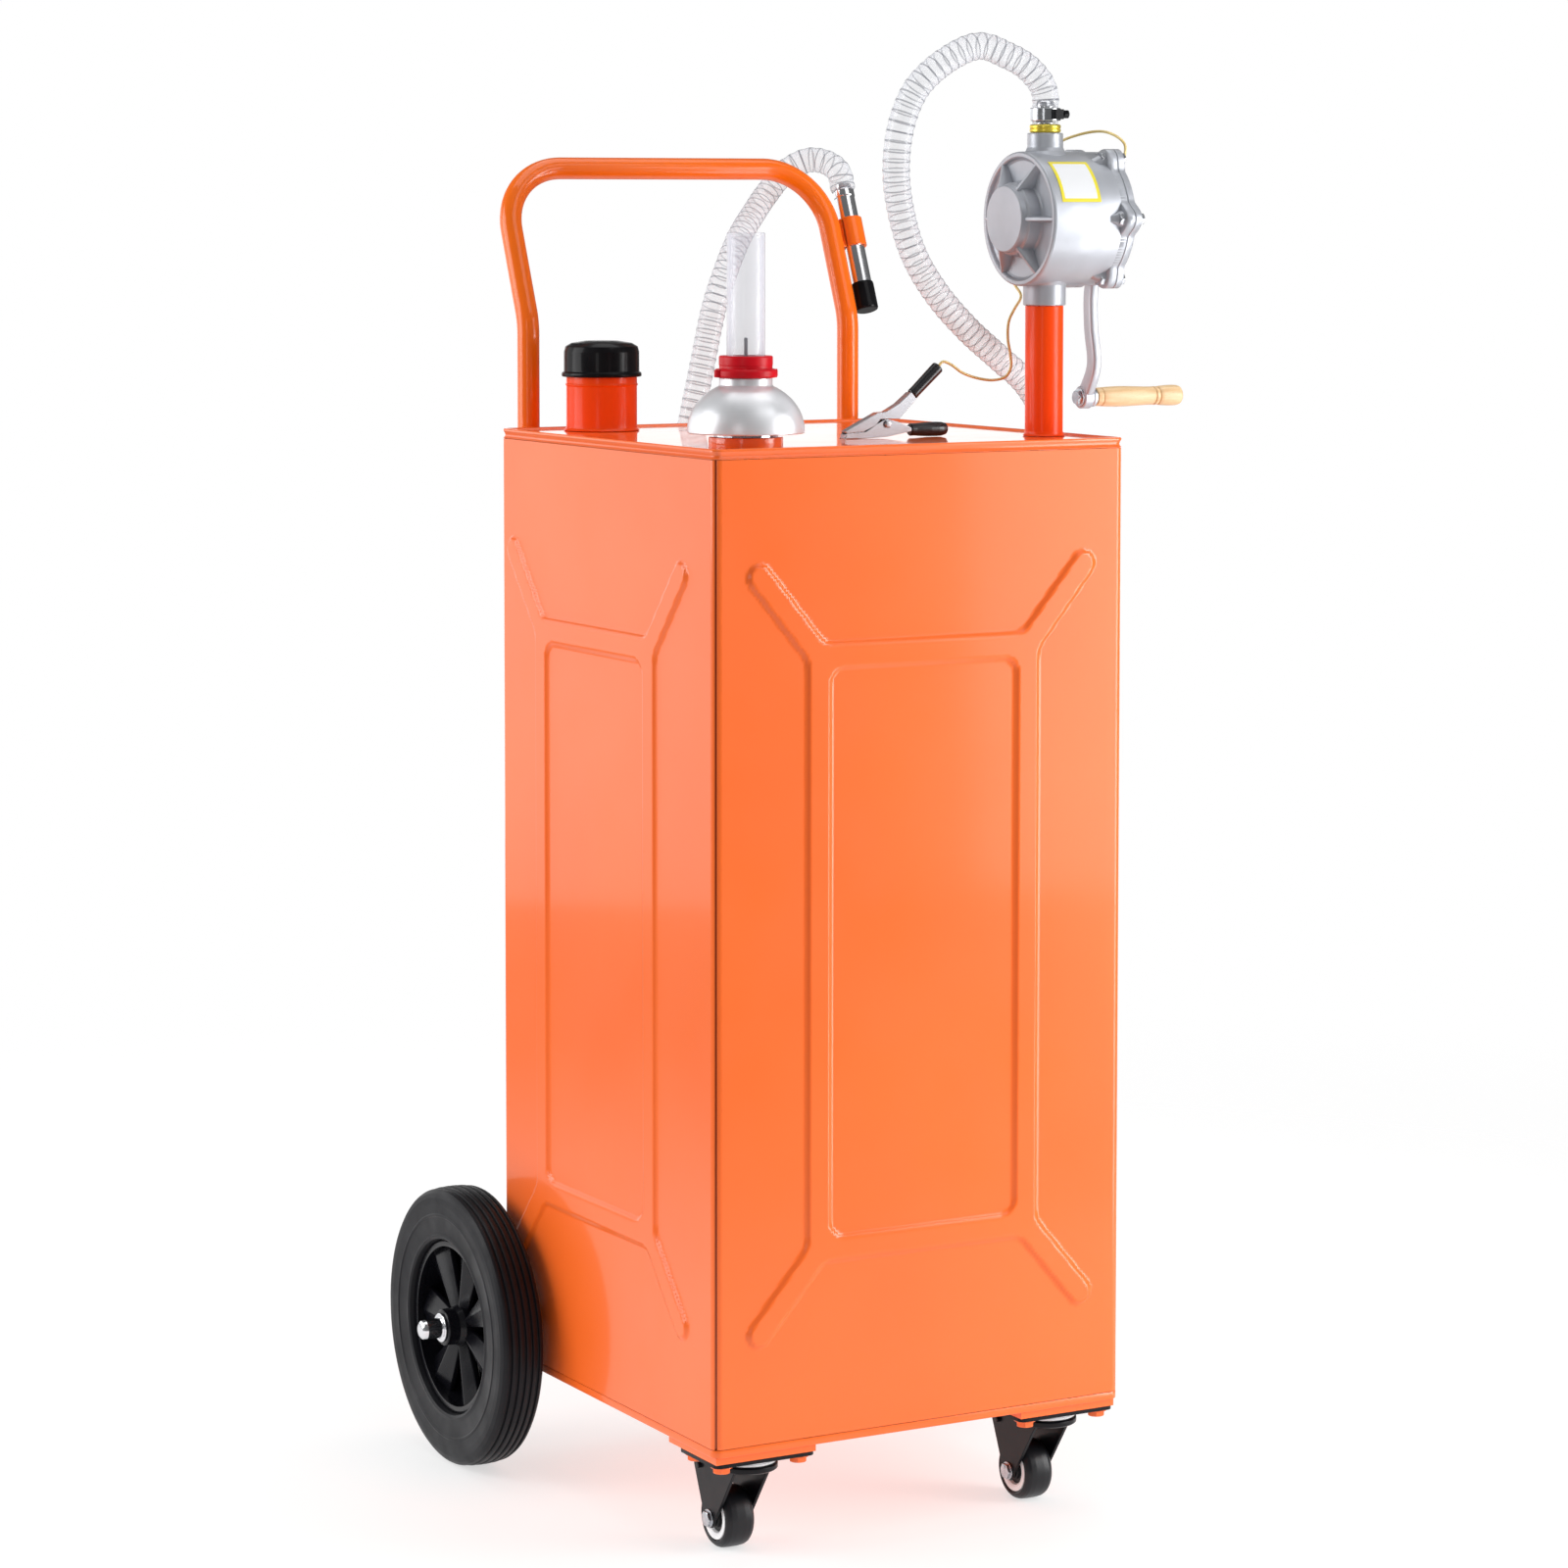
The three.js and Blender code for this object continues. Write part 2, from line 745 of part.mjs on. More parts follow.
// Pump column on the tank top, and the suction pipe that runs through it down to a strainer
function addColumn() {
  const place = [columnX, columnY];
  const column = pipe("z", columnRadius, columnRadius - columnWall, seat, columnHeight, place);
  piece(deck, "pump_column", column, orangePaint);
  const foot = suctionFloorGap - tankHeight;
  const inner = suctionRadius - suctionWall;
  const top = columnHeight + suctionEntry;
  const body = join([
    pipe("z", suctionRadius, inner, foot, top, place),
    pipe("z", strainerRadius, inner, foot, foot + strainerHeight, place),
  ]);
  const slots = [];
  for (let k = 0; k < strainerSlots / 2; k++) {
    const slot = new THREE.BoxGeometry(2 * strainerRadius + overrun, strainerSlotWidth, strainerHeight / 2)
      .rotateZ((2 * right * k) / (strainerSlots / 2))
      .translate(columnX, columnY, foot + strainerHeight / 2);
    slots.push(solid(slot));
  }
  piece(deck, "suction_pipe", cut(body, slots), zinc);
}

// Pump body: a cast drum with a ribbed front, an off-centre chamber, two necks and six lugs
const pump = groupAt(deck, columnX, columnY, pumpAxisHeight);
function addPumpBody() {
  const web = drumFront + drumRecess;
  const floor = web + drumWebThickness;
  const hubFront = drumFront - hubProud;
  const solids = [
    bar("x", drumRadius, drumFront, drumBack, [0, 0], 2 * roundSides),
    bar("z", inletRadius, -inletDrop + seat, -chamberRadius),
    bar("z", outletRadius, chamberRadius, outletRise),
  ];
  const lugs = lugPlaces().map((spot) =>
    bar("x", lugRadius, drumBack - lugThickness, drumBack, spot, smallSides),
  );
  const nuts = lugPlaces().map((spot) =>
    hexagon(boltHeadRadius, drumBack - lugThickness - boltHeadHeight, drumBack - lugThickness, spot),
  );
  const recess = bar("x", drumRadius - drumRimWidth, drumFront - overrun, web, [0, 0], 2 * roundSides);
  const chamber = bar("x", chamberRadius, floor, drumBack + overrun, [chamberOffset, 0]);
  const body = cut(join([...solids, ...lugs, ...nuts]), [recess, chamber]);
  const hub = bar("x", hubRadius, hubFront, floor);
  const dressed = join([body, hub, ...drumRibs(hubFront, web)]);
  piece(pump, "pump_body", cut(dressed, [
    bar("x", shaftRadius + seat, hubFront + drumRimWidth, floor + overrun),
    bar("z", suctionRadius + seat, -inletDrop - overrun, -chamberRadius / 2, [0, 0]),
    bar("z", outletBore, chamberRadius / 2, outletRise + overrun, [0, 0]),
  ]), castAluminium);
}

// Centres of the six lugs round the drum's edge, as places across the pump's axis
function lugPlaces() {
  const spots = [];
  for (let k = 0; k < ribCount; k++) {
    const turn = (2 * Math.PI * k) / ribCount;
    spots.push([lugCircle * Math.cos(turn), lugCircle * Math.sin(turn)]);
  }
  return spots;
}

// The gussets of the drum's front: tall at the hub, low at the rim
function drumRibs(hubFront, web) {
  const ribs = [];
  for (let k = 0; k < ribCount; k++) {
    const shape = outline([
      [hubRadius - overrun, web + drumWebThickness / 2],
      [drumRadius - drumRimWidth / 2, web + drumWebThickness / 2],
      [drumRadius - drumRimWidth / 2, drumFront + overrun],
      [hubRadius - overrun, hubFront + drumRecess],
    ]);
    const geometry = new THREE.ExtrudeGeometry(shape, { depth: drumRibThickness, bevelEnabled: false })
      .translate(0, 0, -drumRibThickness / 2)
      .rotateX(right)
      .rotateY(right)
      .rotateX(right + (2 * Math.PI * k) / ribCount);
    ribs.push(solid(geometry));
  }
  return ribs;
}

// Pump cover with its dome, gland and bolt heads
const coverFront = drumBack + seat;
const coverBack = coverFront + coverThickness;
const glandEnd = coverBack + coverDome + glandLength;
function addPumpCover() {
  const shell = turned("x", [
    [0, coverFront],
    [drumRadius, coverFront],
    [drumRadius, coverBack],
    [coverDomeRadius, coverBack],
    [glandRadius, coverBack + coverDome],
    [glandRadius, glandEnd],
    [0, glandEnd],
  ]);
  const lugs = lugPlaces().map((spot) => bar("x", lugRadius, coverFront, coverBack, spot, smallSides));
  const heads = lugPlaces().map((spot) =>
    hexagon(boltHeadRadius, coverBack, coverBack + boltHeadHeight, spot),
  );
  const bore = bar("x", shaftRadius + seat, coverFront - overrun, glandEnd + overrun);
  piece(pump, "pump_cover", join([shell, ...lugs, ...heads]).subtract(bore), castAluminium);
}

// Rotor with two vanes in its slots, all turned by the shaft
function addRotor() {
  const start = drumFront + drumRecess + drumWebThickness + rotorEndGap;
  const end = drumBack - rotorEndGap;
  const body = pipe("x", rotorRadius, shaftRadius + seat, start, end);
  const slots = [];
  for (const side of [-1, 1]) {
    const inner = vaneReach - vaneDepth - seat;
    const edges = [side * inner, side * (rotorRadius + overrun)].sort((a, b) => a - b);
    const half = vaneWidth / 2 + seat;
    slots.push(block([start - overrun, -half, edges[0]], [end + overrun, half, edges[1]]));
    const blade = [side * (vaneReach - vaneDepth), side * vaneReach].sort((a, b) => a - b);
    const name = side < 0 ? "vane_lower" : "vane_upper";
    piece(pump, name, block([start, -vaneWidth / 2, blade[0]], [end, vaneWidth / 2, blade[1]]), nylon);
  }
  piece(pump, "rotor", cut(body, slots), steel);
  const back = drumFront - hubProud + drumRimWidth + rotorEndGap;
  const armEnd = glandEnd + armStandoff + armThickness;
  const shaft = bar("x", shaftRadius, back, armEnd + seat + shaftNutHeight / 2);
  const nut = hexagon(shaftNutRadius, armEnd + seat, armEnd + seat + shaftNutHeight, [0, 0]);
  piece(pump, "crank_shaft", shaft.add(nut), zinc);
}

// Crank arm: an S-shaped cast bar from its hub to the eye that holds the grip's bolt
const armStart = glandEnd + armStandoff;
const armEnd = armStart + armThickness;
const eyePlace = [crankLag, -Math.sqrt(crankThrow ** 2 - crankLag ** 2)];
function addCrankArm() {
  const bow = armBowShares.map(([y, z]) => new THREE.Vector3(y * crankThrow, -z * crankThrow, 0));
  const line = new THREE.CatmullRomCurve3(bow, false, "centripetal");
  const count = 3 * armBowShares.length;
  const sides = [[], []];
  for (let k = 0; k <= count; k++) {
    const spot = line.getPointAt(k / count);
    const way = line.getTangentAt(k / count);
    sides[0].push([spot.x - (way.y * armWidth) / 2, spot.y + (way.x * armWidth) / 2]);
    sides[1].unshift([spot.x + (way.y * armWidth) / 2, spot.y - (way.x * armWidth) / 2]);
  }
  const arm = join([
    slab("x", outline([...sides[0], ...sides[1]]), armStart, armEnd),
    bar("x", armHubRadius, armStart, armEnd),
    bar("x", armEyeRadius, armStart, armEnd, eyePlace),
  ]);
  const holes = [
    bar("x", shaftRadius + seat, armStart - overrun, armEnd + overrun),
    bar("x", gripBoltRadius + seat, armStart - overrun, armEnd + overrun, eyePlace, smallSides),
  ];
  piece(pump, "crank_arm", cut(arm, holes), castAluminium);
  const headEnd = armStart - seat;
  const gripStart = armEnd + gripWasher;
  const boltEnd = gripStart + (3 * gripLength) / 4;
  const bolt = join([
    bar("x", gripBoltRadius, headEnd - gripBoltHeadHeight, boltEnd, eyePlace, smallSides),
    hexagon(gripBoltHead, headEnd - gripBoltHeadHeight, headEnd, eyePlace),
    bar("x", gripWasherRadius, armEnd + seat, gripStart - seat, eyePlace, smallSides),
  ]);
  piece(pump, "grip_bolt", bolt, zinc);
}

// Wooden grip with three turned grooves, free to spin on its bolt
function addGrip() {
  const start = armEnd + gripWasher;
  const profile = [[0, start], [gripRadius - gripGroove, start]];
  for (const share of gripGrooveShares) {
    const middle = start + share * gripLength;
    profile.push([gripRadius, middle - gripGrooveWidth / 2]);
    profile.push([gripRadius - gripGroove, middle]);
    profile.push([gripRadius, middle + gripGrooveWidth / 2]);
  }
  profile.push([gripRadius, start + gripLength - gripRadius]);
  profile.push([gripEndRadius, start + gripLength]);
  profile.push([0, start + gripLength]);
  const body = turned("x", profile, eyePlace, 2 * smallSides);
  const boreEnd = start + (3 * gripLength) / 4 + seat;
  const bore = bar("x", gripBoltRadius + seat, start - overrun, boreEnd, eyePlace, smallSides);
  piece(pump, "crank_grip", body.subtract(bore), beech);
}

// Outlet ring with the barb that the hose is pushed over, and the hose clamp
const ringTopHeight = pumpAxisHeight + outletRise + seat + ringHeight;
function addOutlet() {
  const place = [columnX, columnY];
  const base = pumpAxisHeight + outletRise + seat;
  const inner = barbRadius - sheet;
  piece(deck, "outlet_ring", join([
    pipe("z", ringRadius, inner, base, ringTopHeight, place),
    pipe("z", barbRadius, inner, base, ringTopHeight + barbLength, place),
  ]), brass);
  const bandInner = hoseRadius + seat;
  const low = ringTopHeight + bandLift;
  const screwY = columnY - bandInner - bandScrewRadius;
  const clampRing = join([
    pipe("z", bandInner + bandThickness, bandInner, low, low + bandHeight, place),
    block(
      [columnX, screwY, low],
      [columnX + bandScrewLength / 2, columnY - bandInner - bandThickness / 2, low + bandHeight],
    ),
    bar("x", bandScrewRadius, columnX, columnX + bandScrewLength, [screwY, low + bandHeight / 2], smallSides),
  ]);
  piece(deck, "hose_clamp", clampRing, blackSteel);
}

// The handle's leaning plane: a point that lies a length up the leaning legs
const legY = tankDepth / 2 + ribHeight + handleStandoff + handleRadius;
function onLean(x, length, outwards = 0) {
  return [
    x,
    legY + length * Math.sin(handleLean) + outwards * Math.cos(handleLean),
    handleStraight + length * Math.cos(handleLean) - outwards * Math.sin(handleLean),
  ];
}

// A straight run through points with its inner corners rounded, as a chain of lines and curves
function bentPath(points, radii) {
  const path = new THREE.CurvePath();
  let from = points[0];
  for (let i = 1; i < points.length - 1; i++) {
    const back = points[i - 1].clone().sub(points[i]).normalize();
    const ahead = points[i + 1].clone().sub(points[i]).normalize();
    const half = back.angleTo(ahead) / 2;
    const cutBack = radii[i - 1] / Math.tan(half);
    const towards = back.clone().add(ahead).normalize();
    const centre = towards.multiplyScalar(radii[i - 1] / Math.sin(half)).add(points[i]);
    const start = points[i].clone().addScaledVector(back, cutBack);
    const end = points[i].clone().addScaledVector(ahead, cutBack);
    path.add(new THREE.LineCurve3(from, start));
    path.add(new RoundCorner(centre, start, end));
    from = end;
  }
  path.add(new THREE.LineCurve3(from, points[points.length - 1]));
  return path;
}

// Part of a circle round a centre, from start to end
class RoundCorner extends THREE.Curve {
  constructor(centre, start, end) {
    super();
    this.centre = centre;
    this.spokes = [start.clone().sub(centre), end.clone().sub(centre)];
    this.sweepAngle = this.spokes[0].angleTo(this.spokes[1]);
  }
  getPoint(t, target = new THREE.Vector3()) {
    const [a, b] = this.spokes;
    const whole = Math.sin(this.sweepAngle);
    return target
      .copy(a)
      .multiplyScalar(Math.sin((1 - t) * this.sweepAngle) / whole)
      .addScaledVector(b, Math.sin(t * this.sweepAngle) / whole)
      .add(this.centre);
  }
}

// Push handle: one bent tube, and the welded saddles that bolt its legs to the rear wall
function addHandle() {
  const foot = handleFoot - tankHeight;
  const spot = (side) => [
    new THREE.Vector3(side * handleHalfWidth, legY, foot),
    new THREE.Vector3(...onLean(side * handleHalfWidth, 0)),
    new THREE.Vector3(...onLean(side * handleHalfWidth, handleLeanLength)),
  ];
  const points = [...spot(-1), ...spot(1).reverse()];
  const radii = [handleKneeRadius, handleCornerRadius, handleCornerRadius, handleKneeRadius];
  const path = bentPath(points, radii);
  const list = [];
  const tangents = [];
  for (const curve of path.curves) {
    const pieces = curve instanceof RoundCorner ? 2 * cornerSegments : 1;
    for (let k = list.length ? 1 : 0; k <= pieces; k++) {
      list.push(curve.getPoint(k / pieces));
      tangents.push(curve.getTangent(k / pieces).normalize());
    }
  }
  const rings = sweep(list, tangents, list.map(() => handleRadius), handleSides);
  piece(deck, "push_handle", solid(closedTube(rings, list)), orangePaint);
  for (const side of [-1, 1]) addSaddles(side);
}

// Rings of points closed to one bar by a fan at each end
function closedTube(rings, centres) {
  const places = [];
  const last = rings.length - 1;
  rings.slice(1).forEach((ring, i) => band(places, rings[i], ring));
  rings[0].forEach((spot, k) => {
    const next = (k + 1) % rings[0].length;
    places.push(centres[0], rings[0][next], spot);
    places.push(centres[last], rings[last][k], rings[last][next]);
  });
  return geometryFrom(places);
}

// A loose list of triangle corners as one geometry
function geometryFrom(places) {
  const flat = new Float32Array(places.flatMap((p) => [p.x, p.y, p.z]));
  return new THREE.BufferGeometry().setAttribute("position", new THREE.BufferAttribute(flat, 3));
}

// Bracket of one leg: a strip bolted to the rear wall with two saddles round the tube
function addSaddles(side) {
  const wallFace = tankDepth / 2 + seat;
  const x = side * handleHalfWidth;
  const inner = handleRadius + seat;
  const half = inner + saddleWall;
  const lows = saddleHeights.map((height) => height - tankHeight - saddleHeight / 2);
  const low = Math.min(...lows);
  const high = Math.max(...lows) + saddleHeight;
  const strip = block([x - half, wallFace, low], [x + half, wallFace + saddleWall, high]);
  const solids = [strip];
  for (const base of lows) {
    const top = base + saddleHeight;
    const wings = half + saddleFlange;
    solids.push(block([x - wings, wallFace, base], [x + wings, wallFace + saddleWall, top]));
    solids.push(block([x - half, wallFace, base], [x + half, legY + half, top]));
    for (const end of [-1, 1]) {
      const spot = [base + saddleHeight / 2, x + end * (half + saddleFlange / 2)];
      solids.push(bar("y", saddleBoltRadius, wallFace + saddleWall / 2, wallFace + 2 * saddleWall, spot, 6));
    }
  }
  const bore = bar("z", inner, low - overrun, high + overrun, [x, legY], handleSides * 2);
  const slotFloor = wallFace + saddleWall / 2;
  const slot = block([x - inner, slotFloor, low - overrun], [x + inner, legY, high + overrun]);
  const name = side < 0 ? "left_handle_bracket" : "right_handle_bracket";
  piece(deck, name, cut(join(solids), [bore, slot]), orangePaint);
}

// Spout, cap and clip lie in a group along the leaning leg, with its Z along the leg
function addSpout() {
  const rack = groupAt(deck, ...onLean(spoutX, 0));
  rack.rotation.x = -handleLean;
  const low = spoutTopAlong - spoutLength;
  const inner = spoutRadius - spoutWall;
  const barb = spoutTopAlong + spoutBarb;
  const insert = barbRadius - sheet;
  const tube = join([
    pipe("z", spoutRadius, insert, low, spoutTopAlong),
    pipe("z", barbRadius, insert, low, barb),
  ]).subtract(bar("z", inner, low - overrun, spoutTopAlong - spoutWall));
  piece(rack, "spout", tube, chrome);
  const mouth = spoutRadius + seat;
  const capTop = low + spoutCapInsert;
  const capLow = capTop - spoutCapLength;
  const cap = [
    [0, capLow],
    [spoutCapRadius - seat, capLow],
    [spoutCapRadius, capLow + seat],
    [spoutCapRadius, capTop],
    [mouth, capTop],
    [mouth, low - seat],
    [0, low - seat],
  ];
  piece(rack, "spout_cap", turned("z", cap), blackPlastic);
  const clipLow = clipAlong - clipWidth / 2;
  const legX = handleHalfWidth - spoutX;
  const grip = pipe("z", mouth + clipWall, mouth, clipLow, clipLow + clipWidth);
  const tab = block(
    [legX + handleRadius / 2, -clipTabThickness / 2, clipAlong - clipTabHeight],
    [-mouth - clipWall / 2, clipTabThickness / 2, clipAlong + clipTabHeight],
  );
  const legEnds = [clipLow - overrun, clipLow + clipWidth + overrun];
  const leg = bar("z", handleRadius + seat, ...legEnds, [legX, 0], 2 * handleSides);
  piece(rack, "spout_clip", join([grip, tab]).subtract(leg), orangePaint);
}

// The hose's route in the tank's frame: up from the pump, over, down behind the tank and up to the spout
const hoseExit = [columnX, columnY, tankHeight + ringTopHeight + seat];
function onSpout(length) {
  const [x, y, z] = onLean(spoutX, length);
  return [x, y, z + tankHeight];
}
const hoseRoute = [
  hoseExit,
  [columnX, columnY, hoseExit[2] + hoseStraight / 2],
  [columnX, columnY, hoseExit[2] + hoseStraight],
  [166, -118, 1139],
  [151, -117, 1154],
  [130, -116, 1164],
  [107, -113, 1171],
  [77, -111, 1160],
  [47, -108, 1135],
  [33, -105, 1103],
  [31, -100, 1066],
  [38, -95, 1033],
  [54, -90, 994],
  [81, -83, 960],
  [118, -74, 928],
  [158, -64, 901],
  [193, -54, 877],
  [219, -42, 846],
  [232, -28, 808],
  [237, -12, 750],
  [238, 10, 640],
  [238, 46, 500],
  [236, 90, 390],
  [232, 146, 320],
  [217, 206, 278],
  [170, 243, 256],
  [110, 252, 252],
  [52, 250, 274],
  [12, 247, 330],
  [-6, 244, 420],
  [-10, 241, 540],
  [-9, 239, 660],
  [-4, 236, 765],
  [8, 233, 827],
  [22, 234, 885],
  [38, 239, 941],
  [59, 250, 981],
  [81, 267, 1007],
  [104, 286, 1025],
  [129, 302, 1046],
  [151, 306, 1066],
  [171, 297, 1077],
  [184, 282, 1074],
  onSpout(spoutTopAlong + seat + spoutStraight),
  onSpout(spoutTopAlong + seat + spoutStraight / 2),
  onSpout(spoutTopAlong + seat),
];

// Ribbed hose: crest and valley rings outside, a plain bore inside, joined at both ends
function addHose() {
  const spots = hoseRoute.map((p) => new THREE.Vector3(...p));
  const path = new THREE.CatmullRomCurve3(spots, false, "centripetal");
  path.arcLengthDivisions = 20 * hoseRoute.length;
  const count = 2 * hoseRibs;
  const centres = [];
  const tangents = [];
  for (let i = 0; i <= count; i++) {
    centres.push(path.getPointAt(i / count));
    tangents.push(path.getTangentAt(i / count));
  }
  const radii = centres.map((spot, i) => (i % 2 ? hoseRadius - hoseRibDepth : hoseRadius));
  const outer = sweep(centres, tangents, radii, hoseSides);
  const fine = sweep(centres, tangents, centres.map(() => hoseBore), hoseSides);
  const bore = fine.filter((ring, i) => {
    const step = Math.min(i, count - i) < 2 * fineRibs ? 2 : 2 * boreStep;
    return i % step === 0;
  });
  const places = [];
  outer.slice(1).forEach((ring, i) => band(places, outer[i], ring));
  bore.slice(1).forEach((ring, i) => band(places, ring, bore[i]));
  band(places, bore[0], outer[0]);
  band(places, outer[outer.length - 1], bore[bore.length - 1]);
  piece(tank, "hose", solid(geometryFrom(places)), clearPlastic);
}

// Axle behind the rear wall, its brackets, the two wheels and the push-on caps
const axleY = tankDepth / 2 + axleStandoff;
const axleZ = wheelRadius - groundClearance;
const wheelInner = tankWidth / 2 + wheelSideGap;
const hubStart = wheelInner - (wheelHubWidth - tyreWidth) / 2;
const hubEnd = hubStart + wheelHubWidth;
function addAxle() {
  const rear = groupAt(tank, 0, axleY, axleZ);
  const end = hubEnd + washerThickness + 2 * seat + axleCapLength / 2;
  piece(rear, "axle", bar("x", axleRadius, -end, end), zinc);
  for (const side of [-1, 1]) {
    const name = side < 0 ? "left" : "right";
    const x = side * (tankWidth / 2 - bracketInset);
    const wallFace = tankDepth / 2 + seat - axleY;
    const ear = block(
      [x - bracketThickness / 2, wallFace, -bracketHeight / 2 + bracketThickness],
      [x + bracketThickness / 2, axleRadius + bracketLip, bracketHeight / 2],
    );
    const foot = block(
      [x - bracketInset / 2, wallFace, -bracketHeight / 2 + bracketThickness],
      [x + bracketInset / 2, wallFace + sheet, bracketHeight / 2],
    );
    const bore = bar("x", axleRadius + seat, x - bracketThickness, x + bracketThickness);
    piece(rear, name + "_axle_bracket", join([ear, foot]).subtract(bore), orangePaint);
    addWheel(rear, name, side);
  }
}

// One rear wheel: solid tyre, moulded rim with fan spokes and a long hub, washer and axle cap
function addWheel(rear, name, side) {
  const mirror = (start, end) => (side > 0 ? [start, end] : [-end, -start]);
  const middle = side * (wheelInner + tyreWidth / 2);
  const half = tyreWidth / 2;
  const tread = turned("x", [
    [tyreInnerRadius, middle - half + tyreShoulder],
    [wheelRadius - 2 * tyreShoulder, middle - half],
    [wheelRadius - tyreShoulder / 2, middle - half + tyreShoulder / 2],
    [wheelRadius, middle - half + 2 * tyreShoulder],
    [wheelRadius, middle + half - 2 * tyreShoulder],
    [wheelRadius - tyreShoulder / 2, middle + half - tyreShoulder / 2],
    [wheelRadius - 2 * tyreShoulder, middle + half],
    [tyreInnerRadius, middle + half - tyreShoulder],
    [tyreInnerRadius, middle - half + tyreShoulder],
  ], [0, 0], 2 * roundSides);
  piece(rear, name + "_tyre", tread, blackRubber);
  const rimOuter = tyreInnerRadius - seat;
  const rimInner = rimOuter - rimBand;
  const bandHalf = rimWidth / 2 - tyreShoulder / 2;
  const solids = [
    pipe("x", rimOuter, rimInner, middle - bandHalf, middle + bandHalf),
    bar("x", wheelHubRadius, ...mirror(hubStart, hubEnd)),
  ];
  for (let k = 0; k < spokeCount; k++) {
    const turn = (2 * Math.PI * k) / spokeCount;
    const spread = Math.PI / spokeCount;
    const fan = (radius, share) => [
      [radius * Math.cos(turn - share * spread), radius * Math.sin(turn - share * spread)],
      [radius * Math.cos(turn + share * spread), radius * Math.sin(turn + share * spread)],
    ];
    const root = fan(wheelHubRadius - rimWebThickness, spokeTipShare + spokeRootShare);
    const tip = fan(rimInner + rimWebThickness, spokeTipShare);
    const shape = outline([root[0], tip[0], tip[1], root[1]]);
    solids.push(slab("x", shape, middle - spokeThickness / 2, middle + spokeThickness / 2));
  }
  const bore = bar("x", axleRadius + axleRun, ...mirror(hubStart - overrun, hubEnd + overrun));
  piece(rear, name + "_rim", join(solids).subtract(bore), blackPlastic);
  const capStart = hubEnd + seat;
  const ends = mirror(capStart, capStart + washerThickness);
  const dome = mirror(capStart, capStart + washerThickness + axleCapLength);
  const holeEnd = hubEnd + washerThickness + 3 * seat + axleCapLength / 2;
  const hole = bar("x", axleRadius + seat, ...mirror(capStart - overrun, holeEnd));
  const cap = join([bar("x", washerRadius, ...ends), bar("x", axleCapRadius, ...dome)]).subtract(hole);
  piece(rear, name + "_axle_cap", cap, chrome);
}

// One front caster: pad with bolts, plate, bearing race, swivelling fork, wheel and brake pedal
function addCaster(side) {
  const name = side < 0 ? "left" : "right";
  const place = groupAt(tank, side * casterX, casterY, 0);
  const padLow = -seat - padThickness;
  const plateHigh = padLow - seat;
  const plateLow = plateHigh - plateThickness;
  const spots = [];
  for (const x of [-1, 1]) {
    for (const y of [-1, 1]) spots.push([(x * boltSpacingX) / 2, (y * boltSpacingY) / 2]);
  }
  const padFront = -plateDepth / 2;
  const pad = block([-padWidth / 2, padFront, padLow], [padWidth / 2, padDepth + padFront, -seat]);
  const shank = (spot) => bar("z", casterBoltRadius, plateLow - seat, padLow + seat, spot, smallSides);
  const shanks = spots.map(shank);
  const heads = spots.map((spot) =>
    bar("z", casterHeadRadius, plateLow - seat - casterHeadHeight, plateLow - seat, spot, 6),
  );
  piece(place, name + "_caster_pad", join([pad, ...shanks, ...heads]), orangePaint);
  const corner = [plateWidth / 2, plateDepth / 2];
  const plateBox = block([-corner[0], -corner[1], plateLow], [...corner, plateHigh]);
  const raceLow = plateLow - raceHeight;
  const kingpinLow = raceLow - forkCrownHeight - 2 * seat - forkWall;
  const stud = bar("z", kingpinRadius, kingpinLow, plateLow + seat, [0, 0], smallSides);
  const clench = bar("z", 2 * kingpinRadius, kingpinLow, kingpinLow + forkWall, [0, 0], smallSides);
  const holes = spots.map((spot) =>
    bar("z", casterBoltRadius + seat, plateLow - overrun, plateHigh + overrun, spot, smallSides),
  );
  piece(place, name + "_caster_plate", cut(join([plateBox, stud, clench]), holes), blackSteel);
  const race = pipe("z", raceRadius, raceBore, raceLow, plateLow - seat, [0, 0]);
  piece(place, name + "_caster_race", race, zinc);
  addFork(place, name, raceLow - seat);
}

